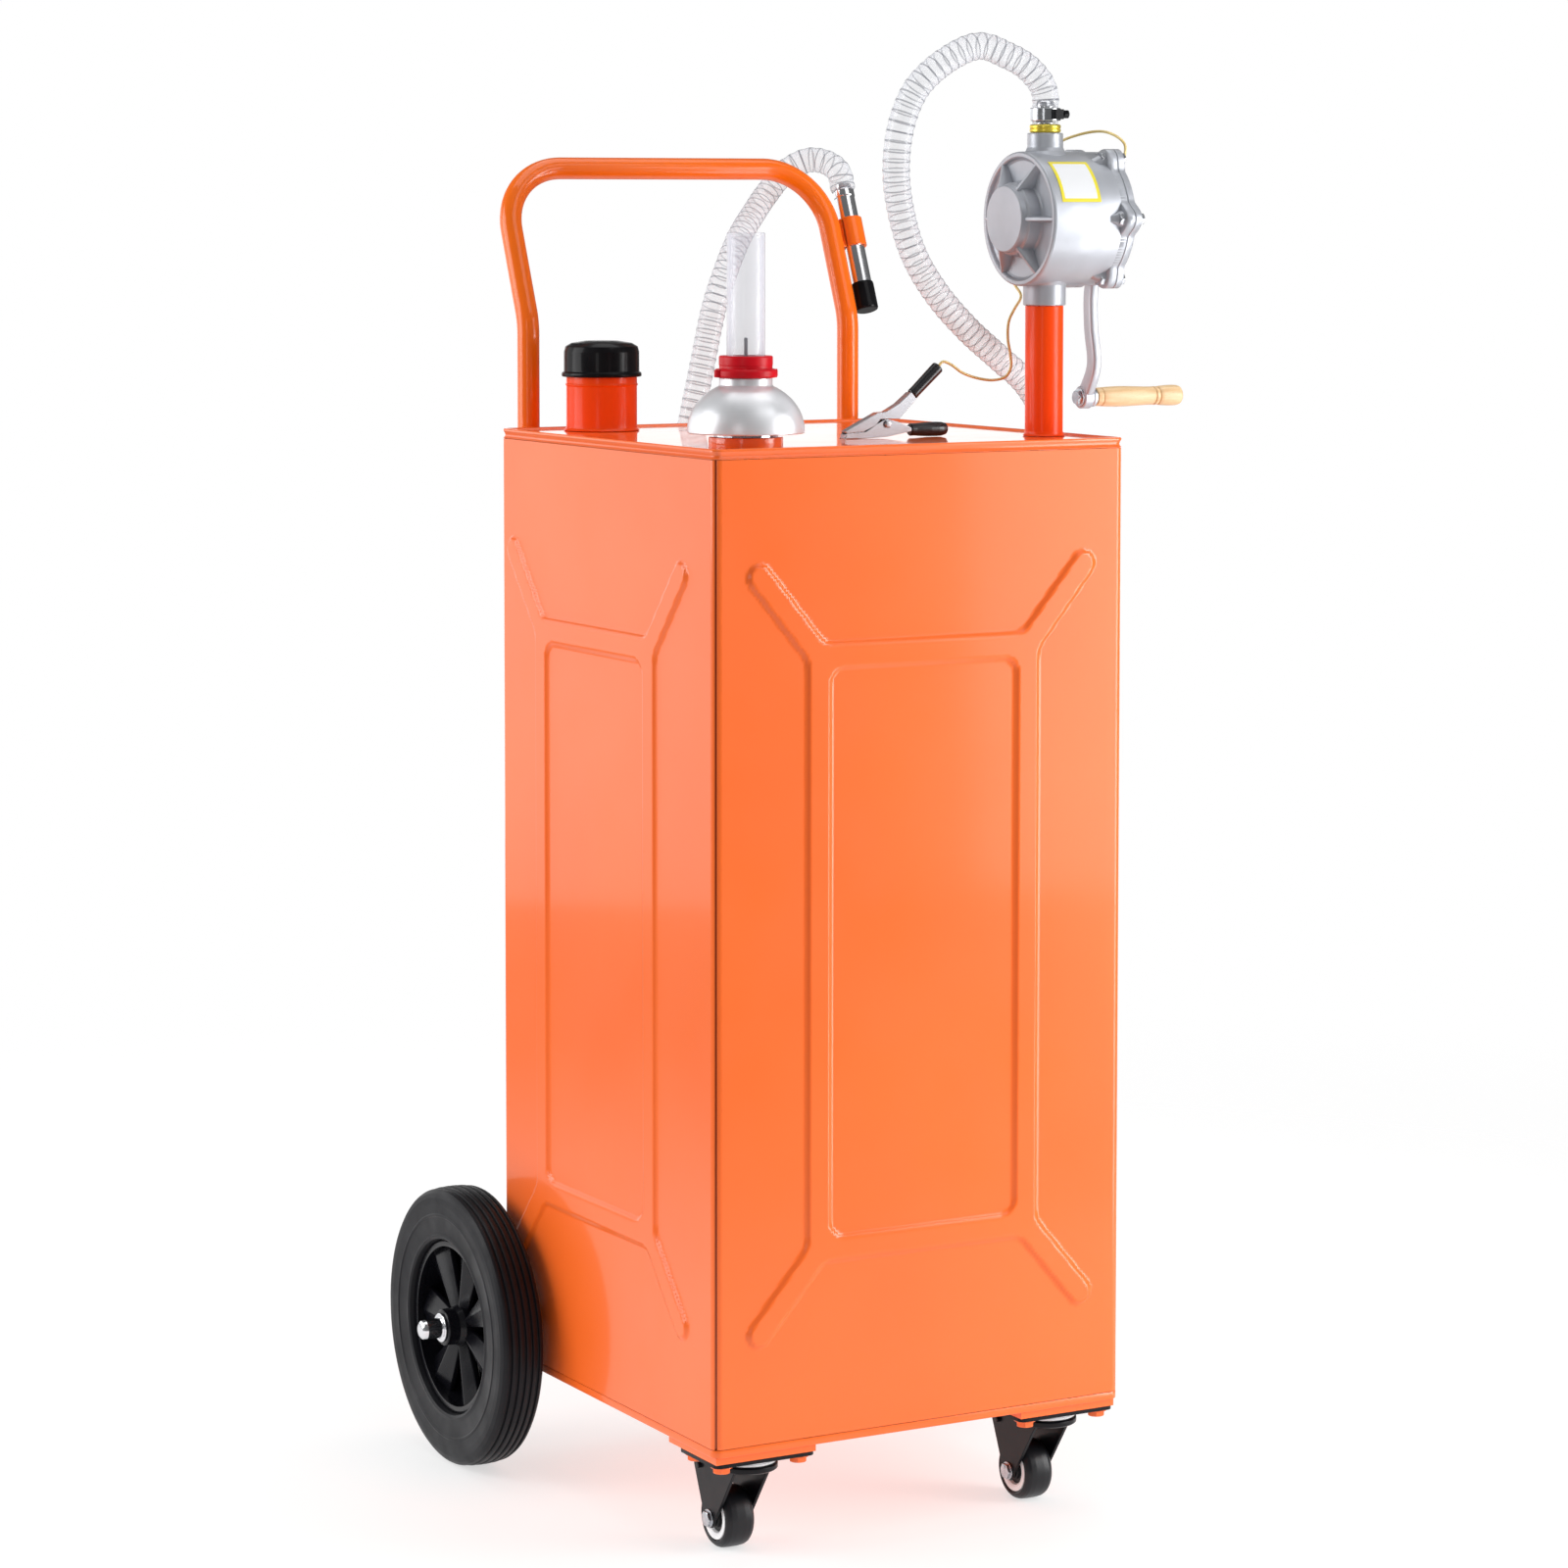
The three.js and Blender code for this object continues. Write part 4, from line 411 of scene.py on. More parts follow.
def paint_finish(name, colour, pale, coat, coat_rough=0.08, shine=0.3):
    """Powder coat: a mid-gloss base under a clear gloss layer, over a very low, fine noise bump.

    It darkens by the piece's own "seam" value, which is nothing but in the grooves of folded corners:
    painted shade of the groove, with some pooled paint and dirt.
    """
    made, tree, shader, where = new_finish(name)
    tone = tinted(tree, drift(tree, where, 0.0, 1.0, 5.0), colour, pale)
    # Painted shade in the corner seams, with some pooled paint and dirt: the seam value darkens the base
    # colour.
    tree.links.new(tinted(tree, own_value(tree, "seam"), tone, SEAM_DIRT_AND_SHADE), shader.inputs["Base Color"])
    roughened(tree, shader, where, 0.30, 0.38, 14.0)
    grained(tree, shader, where, 420.0, 1.0, 0.00002, 0.6)
    set_shader(shader, Specular_IOR_Level=shine, Coat_Weight=coat, Coat_Roughness=coat_rough)
    return made


orange_paint = paint_finish("orange_powder_coat", PAINT, PAINT_PALE, 0.5)


def box_distance(u, v, half_u, half_v, corner):
    """How far a point is outside a rectangle with round corners; less than nothing inside it."""
    a = np.abs(u) - (half_u - corner)
    b = np.abs(v) - (half_v - corner)
    outside = np.hypot(np.maximum(a, 0), np.maximum(b, 0))
    return outside + np.minimum(np.maximum(a, b), 0) - corner


def arm_distance(u, v, start, end):
    """How far a point is outside the round-ended band between two points."""
    way = np.subtract(end, start)
    t = np.clip(((u - start[0]) * way[0] + (v - start[1]) * way[1]) / way.dot(way), 0, 1)
    return np.hypot(u - start[0] - t * way[0], v - start[1] - t * way[1]) - RIB_WIDTH / 2


def soft_minimum(a, b, reach):
    """The lesser of two distances, rounded off where they come within reach of each other."""
    h = np.clip(0.5 + 0.5 * (b - a) / reach, 0, 1)
    return b + (a - b) * h - reach * h * (1 - h)


def pressed_height(u, v):
    """Height of the pressed pattern: a frame with an open middle joined to four arms.

    The height rises as a smooth step over the slope's width, from the pattern's outline inwards.
    """
    mid, half = (RING_TOP + RING_BOTTOM) / 2, (RING_TOP - RING_BOTTOM) / 2
    outer = box_distance(u, v - mid, RING_HALF, half, 0.002)
    root = RING_HALF - RIB_WIDTH / 2
    upper = arm_distance(np.abs(u), v, (root, RING_TOP - RIB_WIDTH / 2), (ARM_X, ARM_TOP))
    lower = arm_distance(np.abs(u), v, (root, RING_BOTTOM + RIB_WIDTH / 2), (ARM_X, ARM_BOTTOM))
    outer = soft_minimum(outer, soft_minimum(upper, lower, 0.004), 0.006)
    inner = box_distance(u, v - mid, RING_HALF - RIB_WIDTH, half - RIB_WIDTH, 0.011)
    t = np.clip(np.minimum(-outer, inner) / RIB_SLOPE, 0, 1)
    return RIB_HEIGHT * t * t * (3 - 2 * t)


def wall_sheet(turn, shift):
    """One wall: a flat field and half of each folded corner, on a grid of width by height.

    Its points lie on the face raised by the pressed height, and its normals lean against that height's
    slopes; both are turned about the tank's middle. The last array is 1 in the two seams.
    """
    flat = HALF - CORNER
    mitre = -np.pi / 4
    bend = np.array([mitre, mitre + SEAM_TURN, *np.linspace(mitre + FOLD_TURN, 0, 5)[:-1]])
    sides = np.full(len(bend), flat)
    across = np.concatenate([-sides, np.linspace(-flat, flat, WALL_COLUMNS), sides])
    lean = np.concatenate([bend, np.zeros(WALL_COLUMNS), -bend[::-1]])
    up = np.array([RIM, *np.linspace(RIM, DECK - RIM, WALL_ROWS), DECK - RIM])
    u, v = np.meshgrid(across, up, indexing="xy")
    tilt = np.broadcast_to(lean, u.shape)
    seam = np.zeros(u.shape)
    seam[:, [0, 1, -2, -1]] = 1
    round_off = CORNER - INSIDE_SOLID - SEAM_DEPTH * seam
    x = u + round_off * np.sin(tilt)
    y = -flat - round_off * np.cos(tilt) - np.where(tilt == 0, pressed_height(u - shift, v), 0)
    y[[0, -1]] += RIM_TUCK
    step = 1e-4
    slope_u = (pressed_height(u - shift + step, v) - pressed_height(u - shift - step, v)) / (2 * step)
    slope_v = (pressed_height(u - shift, v + step) - pressed_height(u - shift, v - step)) / (2 * step)
    slopes = np.where(tilt == 0, [slope_u, slope_v], 0)
    normal = np.stack([np.sin(tilt) - slopes[0], -np.cos(tilt), -slopes[1]], -1)
    normal = normal / np.linalg.norm(normal, axis=-1, keepdims=True)
    grid = np.stack([x, y, v], -1)
    spin = np.array([[math.cos(turn), -math.sin(turn), 0], [math.sin(turn), math.cos(turn), 0], [0, 0, 1]])
    return grid @ spin.T, normal @ spin.T, seam


for wall_name, wall_turn, wall_shift in (
    ("front_wall", 0.0, 0.0),
    ("rear_wall", math.pi, 0.0),
    ("left_wall", -math.pi / 2, -0.015),
    ("right_wall", math.pi / 2, 0.015),
):
    wall_grid, wall_normals, wall_seam = wall_sheet(wall_turn, wall_shift)
    wall_shell = skin(wall_grid, around=False, ends=(False, False))
    sheet = show(wall_name + "_sheet", wall_shell, orange_paint, "tank", wall_name,
                 sharp=180, closed=False)
    sheet.data.normals_split_custom_set_from_vertices(wall_normals.reshape(-1, 3).tolist())
    # The seams' painted shade, with some pooled paint and dirt: a value of 0.9 in the seam columns.
    keep_value(sheet, "seam", 0.9 * wall_seam)

# Top and bottom plates: shallow trays folded from the same steel, their rims set on the ends of the
# walls. The gauge's boss is welded on the top one.


def square_ring(half, corner, height):
    """The points of a square with round corners at one height: four quarter turns, each set on its corner."""
    turn = np.linspace(0, np.pi / 2, 8)
    quarter = np.stack([half - corner + corner * np.cos(turn), half - corner + corner * np.sin(turn)], 1)
    spots = []
    for k in range(4):
        c, s = math.cos(k * math.pi / 2), math.sin(k * math.pi / 2)
        spots.append(quarter @ np.array([[c, s], [-s, c]]))
    flat = np.round(np.vstack(spots), 7)
    return np.column_stack([flat, np.full(len(flat), height)])


def tray(rows):
    """A tray as square rings given by (inset, corner, height), closed at its outer end."""
    rings = [square_ring(HALF - inset, corner, z) for inset, corner, z in rows]
    return skin(np.stack(rings), ends=(False, True))


bottom_rows = [
    (0.0016, 0.0064, 0.0068), (0.0002, 0.0078, 0.0068), (0.0, CORNER, 0.0064), (0.0, CORNER, 0.0012),
    (0.0002, CORNER, 0.0006), (0.0006, CORNER, 0.0002), (0.0012, CORNER, 0.0)]
fold_rows = [(0.0026, -0.0070), (0.0004, -0.0069), (0.0001, -0.0063), (0.0010, -0.0054), (0.0015, -0.0038),
             (0.0008, -0.0016), (0.0, -0.0004), (0.0, 0.0008), (0.0006, 0.0017), (0.0022, 0.0018),
             (0.0036, 0.0012), (0.0050, 0.0)]
top_rows = [(inset, CORNER - 0.5 * inset, DECK + lift) for inset, lift in fold_rows]


def rounded_profile(points, radius, steps=4):
    """An open profile whose inner corners are rounded by arcs, each as large as its neighbours allow."""
    p = np.asarray(points, float)
    done = [p[0]]
    for before, corner, after in zip(p[:-2], p[1:-1], p[2:]):
        back, ahead = before - corner, after - corner
        back_run, ahead_run = np.linalg.norm(back), np.linalg.norm(ahead)
        if min(back_run, ahead_run) < 1e-9:
            done.append(corner)
            continue
        back, ahead = back / back_run, ahead / ahead_run
        half = math.acos(max(-1, min(1, float(back.dot(ahead))))) / 2
        if half > 1.55:
            done.append(corner)
            continue
        r = min(radius, 0.45 * min(back_run, ahead_run) * math.tan(half))
        centre = corner + (back + ahead) / np.linalg.norm(back + ahead) * (r / math.sin(half))
        start = corner + back * r / math.tan(half) - centre
        end = corner + ahead * r / math.tan(half) - centre
        swing = math.pi - 2 * half
        for t in np.linspace(0, 1, steps + 1):
            arc = math.sin((1 - t) * swing) * start + math.sin(t * swing) * end
            straight = start + (end - start) * t
            done.append(centre + (straight if swing > 3.0 else arc / math.sin(swing)))
    done.append(p[-1])
    return np.array(done)


AXES = {"x": (1, 2, 0), "y": (2, 0, 1), "z": (0, 1, 2)}


def turned(axis, profile, place=(0, 0), sides=64, soft=0.0005, steps=3):
    """A turned piece: a profile of (radius, height) pairs carried round an axis at a place across it."""
    p = rounded_profile(profile, soft, steps) if soft else np.asarray(profile, float)
    turn = np.linspace(0, 2 * np.pi, sides, endpoint=False)
    grid = np.empty((len(p), sides, 3))
    a, b, c = AXES[axis]
    grid[..., a] = place[0] + p[:, :1] * np.cos(turn)
    grid[..., b] = place[1] + p[:, :1] * np.sin(turn)
    grid[..., c] = p[:, 1:]
    return skin(grid, ends=(p[0][0] > 1e-6, p[-1][0] > 1e-6))


def ring_turned(axis, profile, place=(0, 0), sides=64, soft=0.0005, steps=3):
    """A turned ring: its profile comes back to its own start, and every corner is rounded."""
    p = np.asarray(profile, float)
    middle = (p[0] + p[1]) / 2
    closed = rounded_profile(np.vstack([middle, p[1:], p[0], middle]), soft, steps)
    shell = turned(axis, closed, place, sides, 0)
    return shell[0], shell[1][:-2] if closed[0][0] > 1e-6 else shell[1]


def peg(axis, radius, start, end, place, sides=64, soft=0.0005):
    """A plain round piece between two heights on an axis."""
    return turned(axis, [(0, start), (radius, start), (radius, end), (0, end)], place, sides, soft)


BOSS_PLACE = (-0.138, -0.141)
boss = peg("z", 0.031, DECK - 0.001, DECK + 0.008, BOSS_PLACE)
deck_paint = paint_finish("deck_powder_coat", PAINT, PAINT_PALE, 0.85, 0.05)
show("top_tray", together(tray(top_rows), boss), deck_paint, "tank", "top_plate")
show("bottom_tray", tray(bottom_rows), orange_paint, "tank", "bottom_plate")

# Filler neck: a rolled steel tube in a deeper orange, welded to the top plate, with a bead below its black
# push-and-turn cap. The cap is moulded, domed and has a flange that the fingers grip.
NECK_PLACE = (-0.123, 0.152)
DEEP_PAINT, DEEP_PAINT_PALE = (0.90, 0.056, 0.001), (0.93, 0.068, 0.001)
deep_paint = paint_finish("deep_orange_powder_coat", DEEP_PAINT, DEEP_PAINT_PALE, 0.2, 0.10, 0.12)


def above(base, rows, way=1):
    """A profile whose heights count from a base: upwards, or downwards with a way of -1."""
    return [(radius, base + way * height) for radius, height in rows]


neck_profile = above(DECK, [
    (0.029, 0.0003), (0.0345, 0.0003), (0.0318, 0.0025), (0.0315, 0.006), (0.0315, 0.0395), (0.0325, 0.041),
    (0.0315, 0.0425), (0.0315, 0.072), (0.029, 0.072)])
neck = ring_turned("z", neck_profile, NECK_PLACE, 72, 0.0008)
show("filler_neck_tube", neck, deep_paint, "tank", "filler_neck")


def moulded_finish(name, colour, rough, grain=0.00003, scale=700.0, shine=0.32, coat=0.0):
    """Moulded plastic or rubber: near even in tone, with a fine grain in its roughness and surface."""
    made, tree, shader, where = new_finish(name)
    pale = tuple(min(1, c * 1.35 + 0.004) for c in colour)
    coloured(tree, shader, where, colour, pale, 30.0)
    roughened(tree, shader, where, rough - 0.06, rough + 0.06, 45.0)
    grained(tree, shader, where, scale, 2.0, grain, 0.7)
    set_shader(shader, Specular_IOR_Level=shine, Coat_Weight=coat, Coat_Roughness=0.07)
    return made


black_plastic = moulded_finish("black_moulding", (0.003, 0.003, 0.004), 0.30, shine=0.08, coat=0.14)
cap_profile = above(DECK + 0.048, [
    (0.0, 0.0243), (0.0318, 0.0243), (0.0318, 0.0), (0.0355, 0.0), (0.0357, 0.002), (0.0352, 0.0038),
    (0.0336, 0.0045), (0.0335, 0.022), (0.0322, 0.0268), (0.027, 0.0298), (0.015, 0.0317), (0.0, 0.0321)])
show("filler_cap_moulding", turned("z", cap_profile, NECK_PLACE, 96, 0.0012), black_plastic, "filler_cap",
     "filler_cap")

# Gauge head: a polished spun dome on the boss, a red collar with two small lugs, and a clear tube in
# which the black indicator rod rises with the float.
# Colour of the painted dark reflection at the outline of spun and chrome metal.
OUTLINE_REFLECTION_DARK = (0.05, 0.05, 0.06)


def spun_finish(name, colour, rough, centre=(0, 0), rings=0.0, grain=0.00001, metal=1.0, rim=0.0):
    """Metal turned on a lathe or polished: soft tonal drift, and fine rings about the piece's axis.

    Its tone falls towards the piece's outline by the rim's share: a painted dark reflection, as dark cards
    round a lit piece would give.
    """
    made, tree, shader, where = new_finish(name)
    dull = tuple(c * 0.86 for c in colour)
    tone = tinted(tree, drift(tree, where, 0.0, 1.0, 25.0), colour, dull)
    if rim:
        # Painted dark reflection: the colour darkens towards the outline.
        edge = wired(tree, "ShaderNodeLayerWeight", Blend=0.3).outputs["Facing"]
        tone = tinted(tree, ranged(tree, edge, 0.40, 0.85, 0.0, rim), tone, OUTLINE_REFLECTION_DARK)
    tree.links.new(tone, shader.inputs["Base Color"])
    roughened(tree, shader, where, rough * 0.8, rough * 1.25, 50.0)
    set_shader(shader, Metallic=metal, Specular_IOR_Level=0.5)
    if rings:
        to_axis = tuple(-c for c in in_frame((*centre, 0)))
        place = wired(tree, "ShaderNodeMapping", Vector=where, Location=to_axis)
        lines = wired(tree, "ShaderNodeTexWave", Vector=place.outputs["Vector"], Scale=rings, Distortion=0.4)
        lines.wave_type = "RINGS"
        lines.rings_direction = "Z"
        bumped(tree, shader, lines.outputs["Fac"], grain, 0.5)
    return made


DOME_RADIUS, DOME_MOUTH, DOME_RISE, DOME_EDGE = 0.049, 0.023, 0.037, 0.002
# The dome's colour darkens towards its outline: painted dark reflection.
dome_metal = spun_finish("spun_dome_metal", (0.90, 0.91, 0.94), 0.36, BOSS_PLACE, 260.0, metal=0.5, rim=0.35)
dome_base = DECK + 0.0111
mouth_share = DOME_MOUTH / DOME_RADIUS
dome_turn = np.linspace(0, math.acos(mouth_share), 18)
dome_lift = DOME_RISE * np.sin(dome_turn) / math.sqrt(1 - mouth_share**2)
dome_side = np.column_stack([DOME_RADIUS * np.cos(dome_turn), dome_base + DOME_EDGE + dome_lift])
dome_profile = np.vstack([
    above(dome_base, [(0.0, 0.0), (DOME_RADIUS - 0.0006, 0.0), (DOME_RADIUS, 0.0008)]),
    dome_side,
    above(dome_base, [(0.0222, 0.0400), (0.0222, 0.046), (0.0, 0.046)]),
])
dome_shell = turned("z", dome_profile, BOSS_PLACE, 96, 0.0006)
show("gauge_dome_spinning", dome_shell, dome_metal, "tank", "gauge_dome")
collar_base = dome_base + 0.0463


def gloss_finish(name, colour, rough, coat=0.5, shine=0.5):
    """Bright gloss plastic or enamel with a light clear layer and faint moulding marks."""
    made, tree, shader, where = new_finish(name)
    deep = tuple(c * 0.82 for c in colour)
    coloured(tree, shader, where, colour, deep, 40.0)
    roughened(tree, shader, where, rough - 0.04, rough + 0.04, 60.0)
    grained(tree, shader, where, 500.0, 1.0, 0.00001, 0.5)
    set_shader(shader, Coat_Weight=coat, Coat_Roughness=0.08, Specular_IOR_Level=shine)
    return made


COLLAR_RADIUS = 0.0265
red_gloss = gloss_finish("red_gloss_plastic", (0.62, 0.001, 0.010), 0.36, 0.0, 0.22)
collar_profile = above(collar_base, [
    (0.0163, 0), (0.0258, 0), (COLLAR_RADIUS, 0.0015), (COLLAR_RADIUS, 0.0055), (0.0252, 0.007),
    (0.0222, 0.0072), (0.0222, 0.010), (0.0225, 0.0105), (0.0225, 0.0170), (0.0218, 0.018), (0.0163, 0.018)])
lugs = []
for side in (-1, 1):
    lug_place = (BOSS_PLACE[0] + side * COLLAR_RADIUS, BOSS_PLACE[1])
    lugs.append(peg("z", 0.0032, collar_base + 0.0004, collar_base + 0.0066, lug_place, 20, 0.0006))
collar_shell = together(ring_turned("z", collar_profile, BOSS_PLACE, 80, 0.0006), *lugs)
show("gauge_collar_ring", collar_shell, red_gloss, "tank", "gauge_collar")


def clear_finish(name, colour, alpha, rough):
    """Clear plastic seen through: faintly tinted, more solid at its rim than face on, and dark blue-grey at
    its rim as painted shade.
    """
    made, tree, shader, where = new_finish(name)
    deep = tuple(c * 0.9 for c in colour)
    tone = tinted(tree, drift(tree, where, 0.0, 1.0, 20.0), colour, deep)
    rim = wired(tree, "ShaderNodeLayerWeight", Blend=0.35).outputs["Facing"]
    # Painted shade: the colour goes dark blue-grey towards the rim.
    rimmed = tinted(tree, ranged(tree, rim, 0.52, 0.86, 0.0, 1.0), tone, (0.22, 0.23, 0.30))
    tree.links.new(rimmed, shader.inputs["Base Color"])
    tree.links.new(ranged(tree, rim, 0.1, 1.0, alpha, 0.85), shader.inputs["Alpha"])
    roughened(tree, shader, where, rough, rough + 0.05, 30.0)
    set_shader(shader, Coat_Weight=0.4, Coat_Roughness=0.03)
    return made


clear_tube = clear_finish("clear_sight_tube", (0.80, 0.80, 0.88), 0.16, 0.05)
sight_profile = above(collar_base, [
    (0.0144, 0), (0.016, 0), (0.016, 0.1192), (0.0152, 0.120), (0.0, 0.120), (0.0, 0.1175), (0.0144, 0.1175),
    (0.0144, 0)])
show("gauge_sight_tube", turned("z", sight_profile, BOSS_PLACE, 64, 0.0003), clear_tube, "tank", "sight_tube",
     sharp=50)
rod_black = gloss_finish("black_rod_enamel", (0.012, 0.012, 0.014), 0.3, 0.2)
rod_foot, rod_top = DECK - 0.1, collar_base + 0.033
rod_profile = [(0, rod_foot), (0.0016, rod_foot), (0.0016, rod_top - 0.0008), (0.0009, rod_top), (0, rod_top)]
show("indicator_pointer", turned("z", rod_profile, BOSS_PLACE, 24, 0.0002), rod_black, "indicator",
     "indicator_rod")

# Pump column: a painted steel tube that stands in a weld on the top plate and carries the pump's foot.
COLUMN_PLACE = (0.170, -0.118)
column_profile = above(DECK, [(0.0142, 0.0003), (0.0188, 0.0003), (0.0172, 0.0018), (0.0165, 0.0045),
                              (0.0165, 0.1130), (0.0142, 0.1130)])
show("pump_column_tube", ring_turned("z", column_profile, COLUMN_PLACE), deep_paint, "tank", "pump_column")

# Pump body: an aluminium casting, tumbled to a satin grey. Its round front is recessed behind a rim, with
# a stepped hub and six tapering gussets; six lugs at its back take the cover's bolts.
PUMP_X, PUMP_PLACE = 0.170, (-0.118, 1.023)
DRUM, LUG_CIRCLE = 0.058, 0.060
LUG_TIP, LUG_SPREAD = 0.0682, 0.2625
CAST_GREY = (0.50, 0.52, 0.565)


def cast_finish():
    """Tumbled casting: satin metal with a sandy bump, soft blotches and a slightly duller tone in them."""
    made, tree, shader, where = new_finish("cast_aluminium")
    coloured(tree, shader, where, CAST_GREY, tuple(c * 0.84 for c in CAST_GREY), 18.0, 4.0)
    roughened(tree, shader, where, 0.33, 0.45, 60.0)
    grained(tree, shader, where, 900.0, 3.0, 0.00006, 0.6)
    set_shader(shader, Metallic=0.45, Specular_IOR_Level=0.5)
    return made


cast_metal = cast_finish()
drum_profile = above(PUMP_X, [
    (0.0, 0.0488), (0.0572, 0.0488), (DRUM, 0.0480), (DRUM, -0.0245), (0.0576, -0.0262), (0.0566, -0.0270),
    (0.0538, -0.0270), (0.0527, -0.0262), (0.0518, -0.0238), (0.0500, -0.0228), (0.0335, -0.0228),
    (0.0318, -0.0240), (0.0312, -0.0345), (0.0296, -0.0356), (0.0290, -0.0365), (0.0288, -0.0412),
    (0.0278, -0.0420), (0.0, -0.0421)])
drum = turned("x", drum_profile, PUMP_PLACE, 128, 0.0004)


def about_pump(along, out, wide, turn):
    """Points by their places along the pump's axis from the column, out from it at an angle, and sideways."""
    y = PUMP_PLACE[0] + out * math.cos(turn) - wide * math.sin(turn)
    z = PUMP_PLACE[1] + out * math.sin(turn) + wide * math.cos(turn)
    return np.stack(np.broadcast_arrays(PUMP_X + along, y, z), -1)


def gusset(turn):
    """One gusset of the pump's front, from the hub to the rim at an angle about the pump's axis.

    Its section is a low trapezium with a round crest; its height falls in a line from hub to rim.
    """
    r = np.linspace(0.0275, 0.0545, 8)
    share = (r - r[0]) / (r[-1] - r[0])
    top = -0.0392 + share * 0.0125
    foot, crest = 0.0030 - 0.0004 * share, 0.0017 - 0.0003 * share
    root = np.full_like(r, -0.0222)
    wide = np.stack([-foot, -crest - 0.0002, -crest * 0.7, crest * 0.7, crest + 0.0002, foot], 1)
    high = np.stack([root, top + 0.0012, top, top, top + 0.0012, root], 1)
    return skin(about_pump(high, r[:, None], wide, turn))


def lugged_slab(rows):
    """A disc on the pump's axis whose edge swells to six round-headed lugs.

    Each row draws that edge in by its inset, at its place from the column, or is a plain circle where it
    gives a radius as well. A lug is the 1.6th power of a parabola in the angle from its middle.
    """
    turn = np.linspace(0, 2 * np.pi, 144, endpoint=False)
    off = (turn + np.pi / 6) % (np.pi / 3) - np.pi / 6
    edge = DRUM + (LUG_TIP - DRUM) * np.clip(1 - (off / LUG_SPREAD) ** 2, 0, 1) ** 1.6
    rings = []
    for inset, along, *circle in rows:
        radius = np.full(len(turn), circle[0]) if circle else edge - inset
        y, z = PUMP_PLACE[0] + radius * np.cos(turn), PUMP_PLACE[1] + radius * np.sin(turn)
        rings.append(np.column_stack([np.full(len(turn), PUMP_X + along), y, z]))
    return skin(np.stack(rings))


def hex_head(axis, radius, start, end, place, washer=0.0):
    """A hexagon head: its sides rise from start, and its corners are cut by a cone near the end.

    The radius at an angle is the flat's distance over the cosine of the angle from the flat's middle.
    """
    turn = np.linspace(0, 2 * np.pi, 48, endpoint=False)
    flat = radius * math.cos(math.pi / 6)
    hexagon = flat / np.cos((turn % (np.pi / 3)) - np.pi / 6)
    cone = [(0.0, 1.0), (0.62, 1.0), (0.80, 0.985), (0.93, 0.93), (1.0, 0.86)]
    a, b, c = AXES[axis]
    grid = np.empty((len(cone), 48, 3))
    for k, (share, limit) in enumerate(cone):
        r = np.minimum(hexagon, radius * limit)
        grid[k, :, a] = place[0] + r * np.cos(turn)
        grid[k, :, b] = place[1] + r * np.sin(turn)
        grid[k, :, c] = start + (end - start) * share
    shells = [skin(grid)]
    if washer:
        shells.append(peg(axis, washer, start, start + math.copysign(0.0012, end - start), place, 40, 0.0003))
    return together(*shells)


sixths = [k * math.pi / 3 for k in range(6)]
lug_spots = [
    (PUMP_PLACE[0] + LUG_CIRCLE * math.cos(turn), PUMP_PLACE[1] + LUG_CIRCLE * math.sin(turn))
    for turn in sixths
]
flange_rows = [(0.0035, 0.0405), (0.0006, 0.0412), (0.0, 0.0420), (0.0, 0.0484), (0.0005, 0.0490)]


def lug_web(turn):
    """A tapering web that runs forward from a lug along the drum's side and dies into it."""
    along = np.linspace(0.0415, 0.0300, 7)[:, None]
    share = np.linspace(0, 1, 7)[:, None]
    high = 0.0066 * (1 - share**1.2) + 0.0002
    around = np.linspace(-1, 1, 9)
    spread = (0.0078 - 0.0050 * share) * around
    rise = DRUM + high * np.sqrt(1 - around**2)
    crest = about_pump(along, rise, spread, turn)
    root = about_pump(along, 0.055, spread[:, ::-1], turn)
    return skin(np.concatenate([crest, root], 1))


inlet = turned("z", [(0, 0.9483), (0.0176, 0.9483), (0.0185, 0.9490), (0.0185, 0.9630), (0.0188, 0.9660),
                     (0.0215, 0.9690), (0.0215, 0.985), (0, 0.985)], COLUMN_PLACE, 64, 0.0006)
outlet = turned("z", [(0, 1.062), (0.0205, 1.062), (0.0205, 1.0775), (0.0170, 1.0815), (0.0156, 1.0845),
                      (0.0155, 1.0962), (0.0149, 1.0970), (0, 1.0970)], COLUMN_PLACE, 64, 0.0008)
body_shell = together(drum, lugged_slab(flange_rows), inlet, outlet, *map(gusset, sixths),
                      *map(lug_web, sixths))
show("pump_casting", body_shell, cast_metal, "tank", "pump_body", sharp=38)
ZINC_GREY = (0.62, 0.64, 0.68)


def zinc_finish():
    """Zinc-plated steel: mid-gloss metal with faint crystalline blotches."""
    made, tree, shader, where = new_finish("bright_zinc")
    cells = wired(tree, "ShaderNodeTexVoronoi", Vector=where, Scale=190.0).outputs["Distance"]
    dull = tuple(c * 0.80 for c in ZINC_GREY)
    tree.links.new(tinted(tree, ranged(tree, cells, 0.0, 0.9, 0.0, 1.0), ZINC_GREY, dull),
                   shader.inputs["Base Color"])
    roughened(tree, shader, where, 0.22, 0.35, 90.0)
    set_shader(shader, Metallic=1.0, Specular_IOR_Level=0.5)
    return made


zinc = zinc_finish()
nuts = [hex_head("x", 0.0055, PUMP_X + 0.0410, PUMP_X + 0.0362, spot) for spot in lug_spots]
show("pump_cover_nuts", together(*nuts), zinc, "tank")

# Pump label: a blank white sticker with a yellow border, wrapped on the drum's upper front.


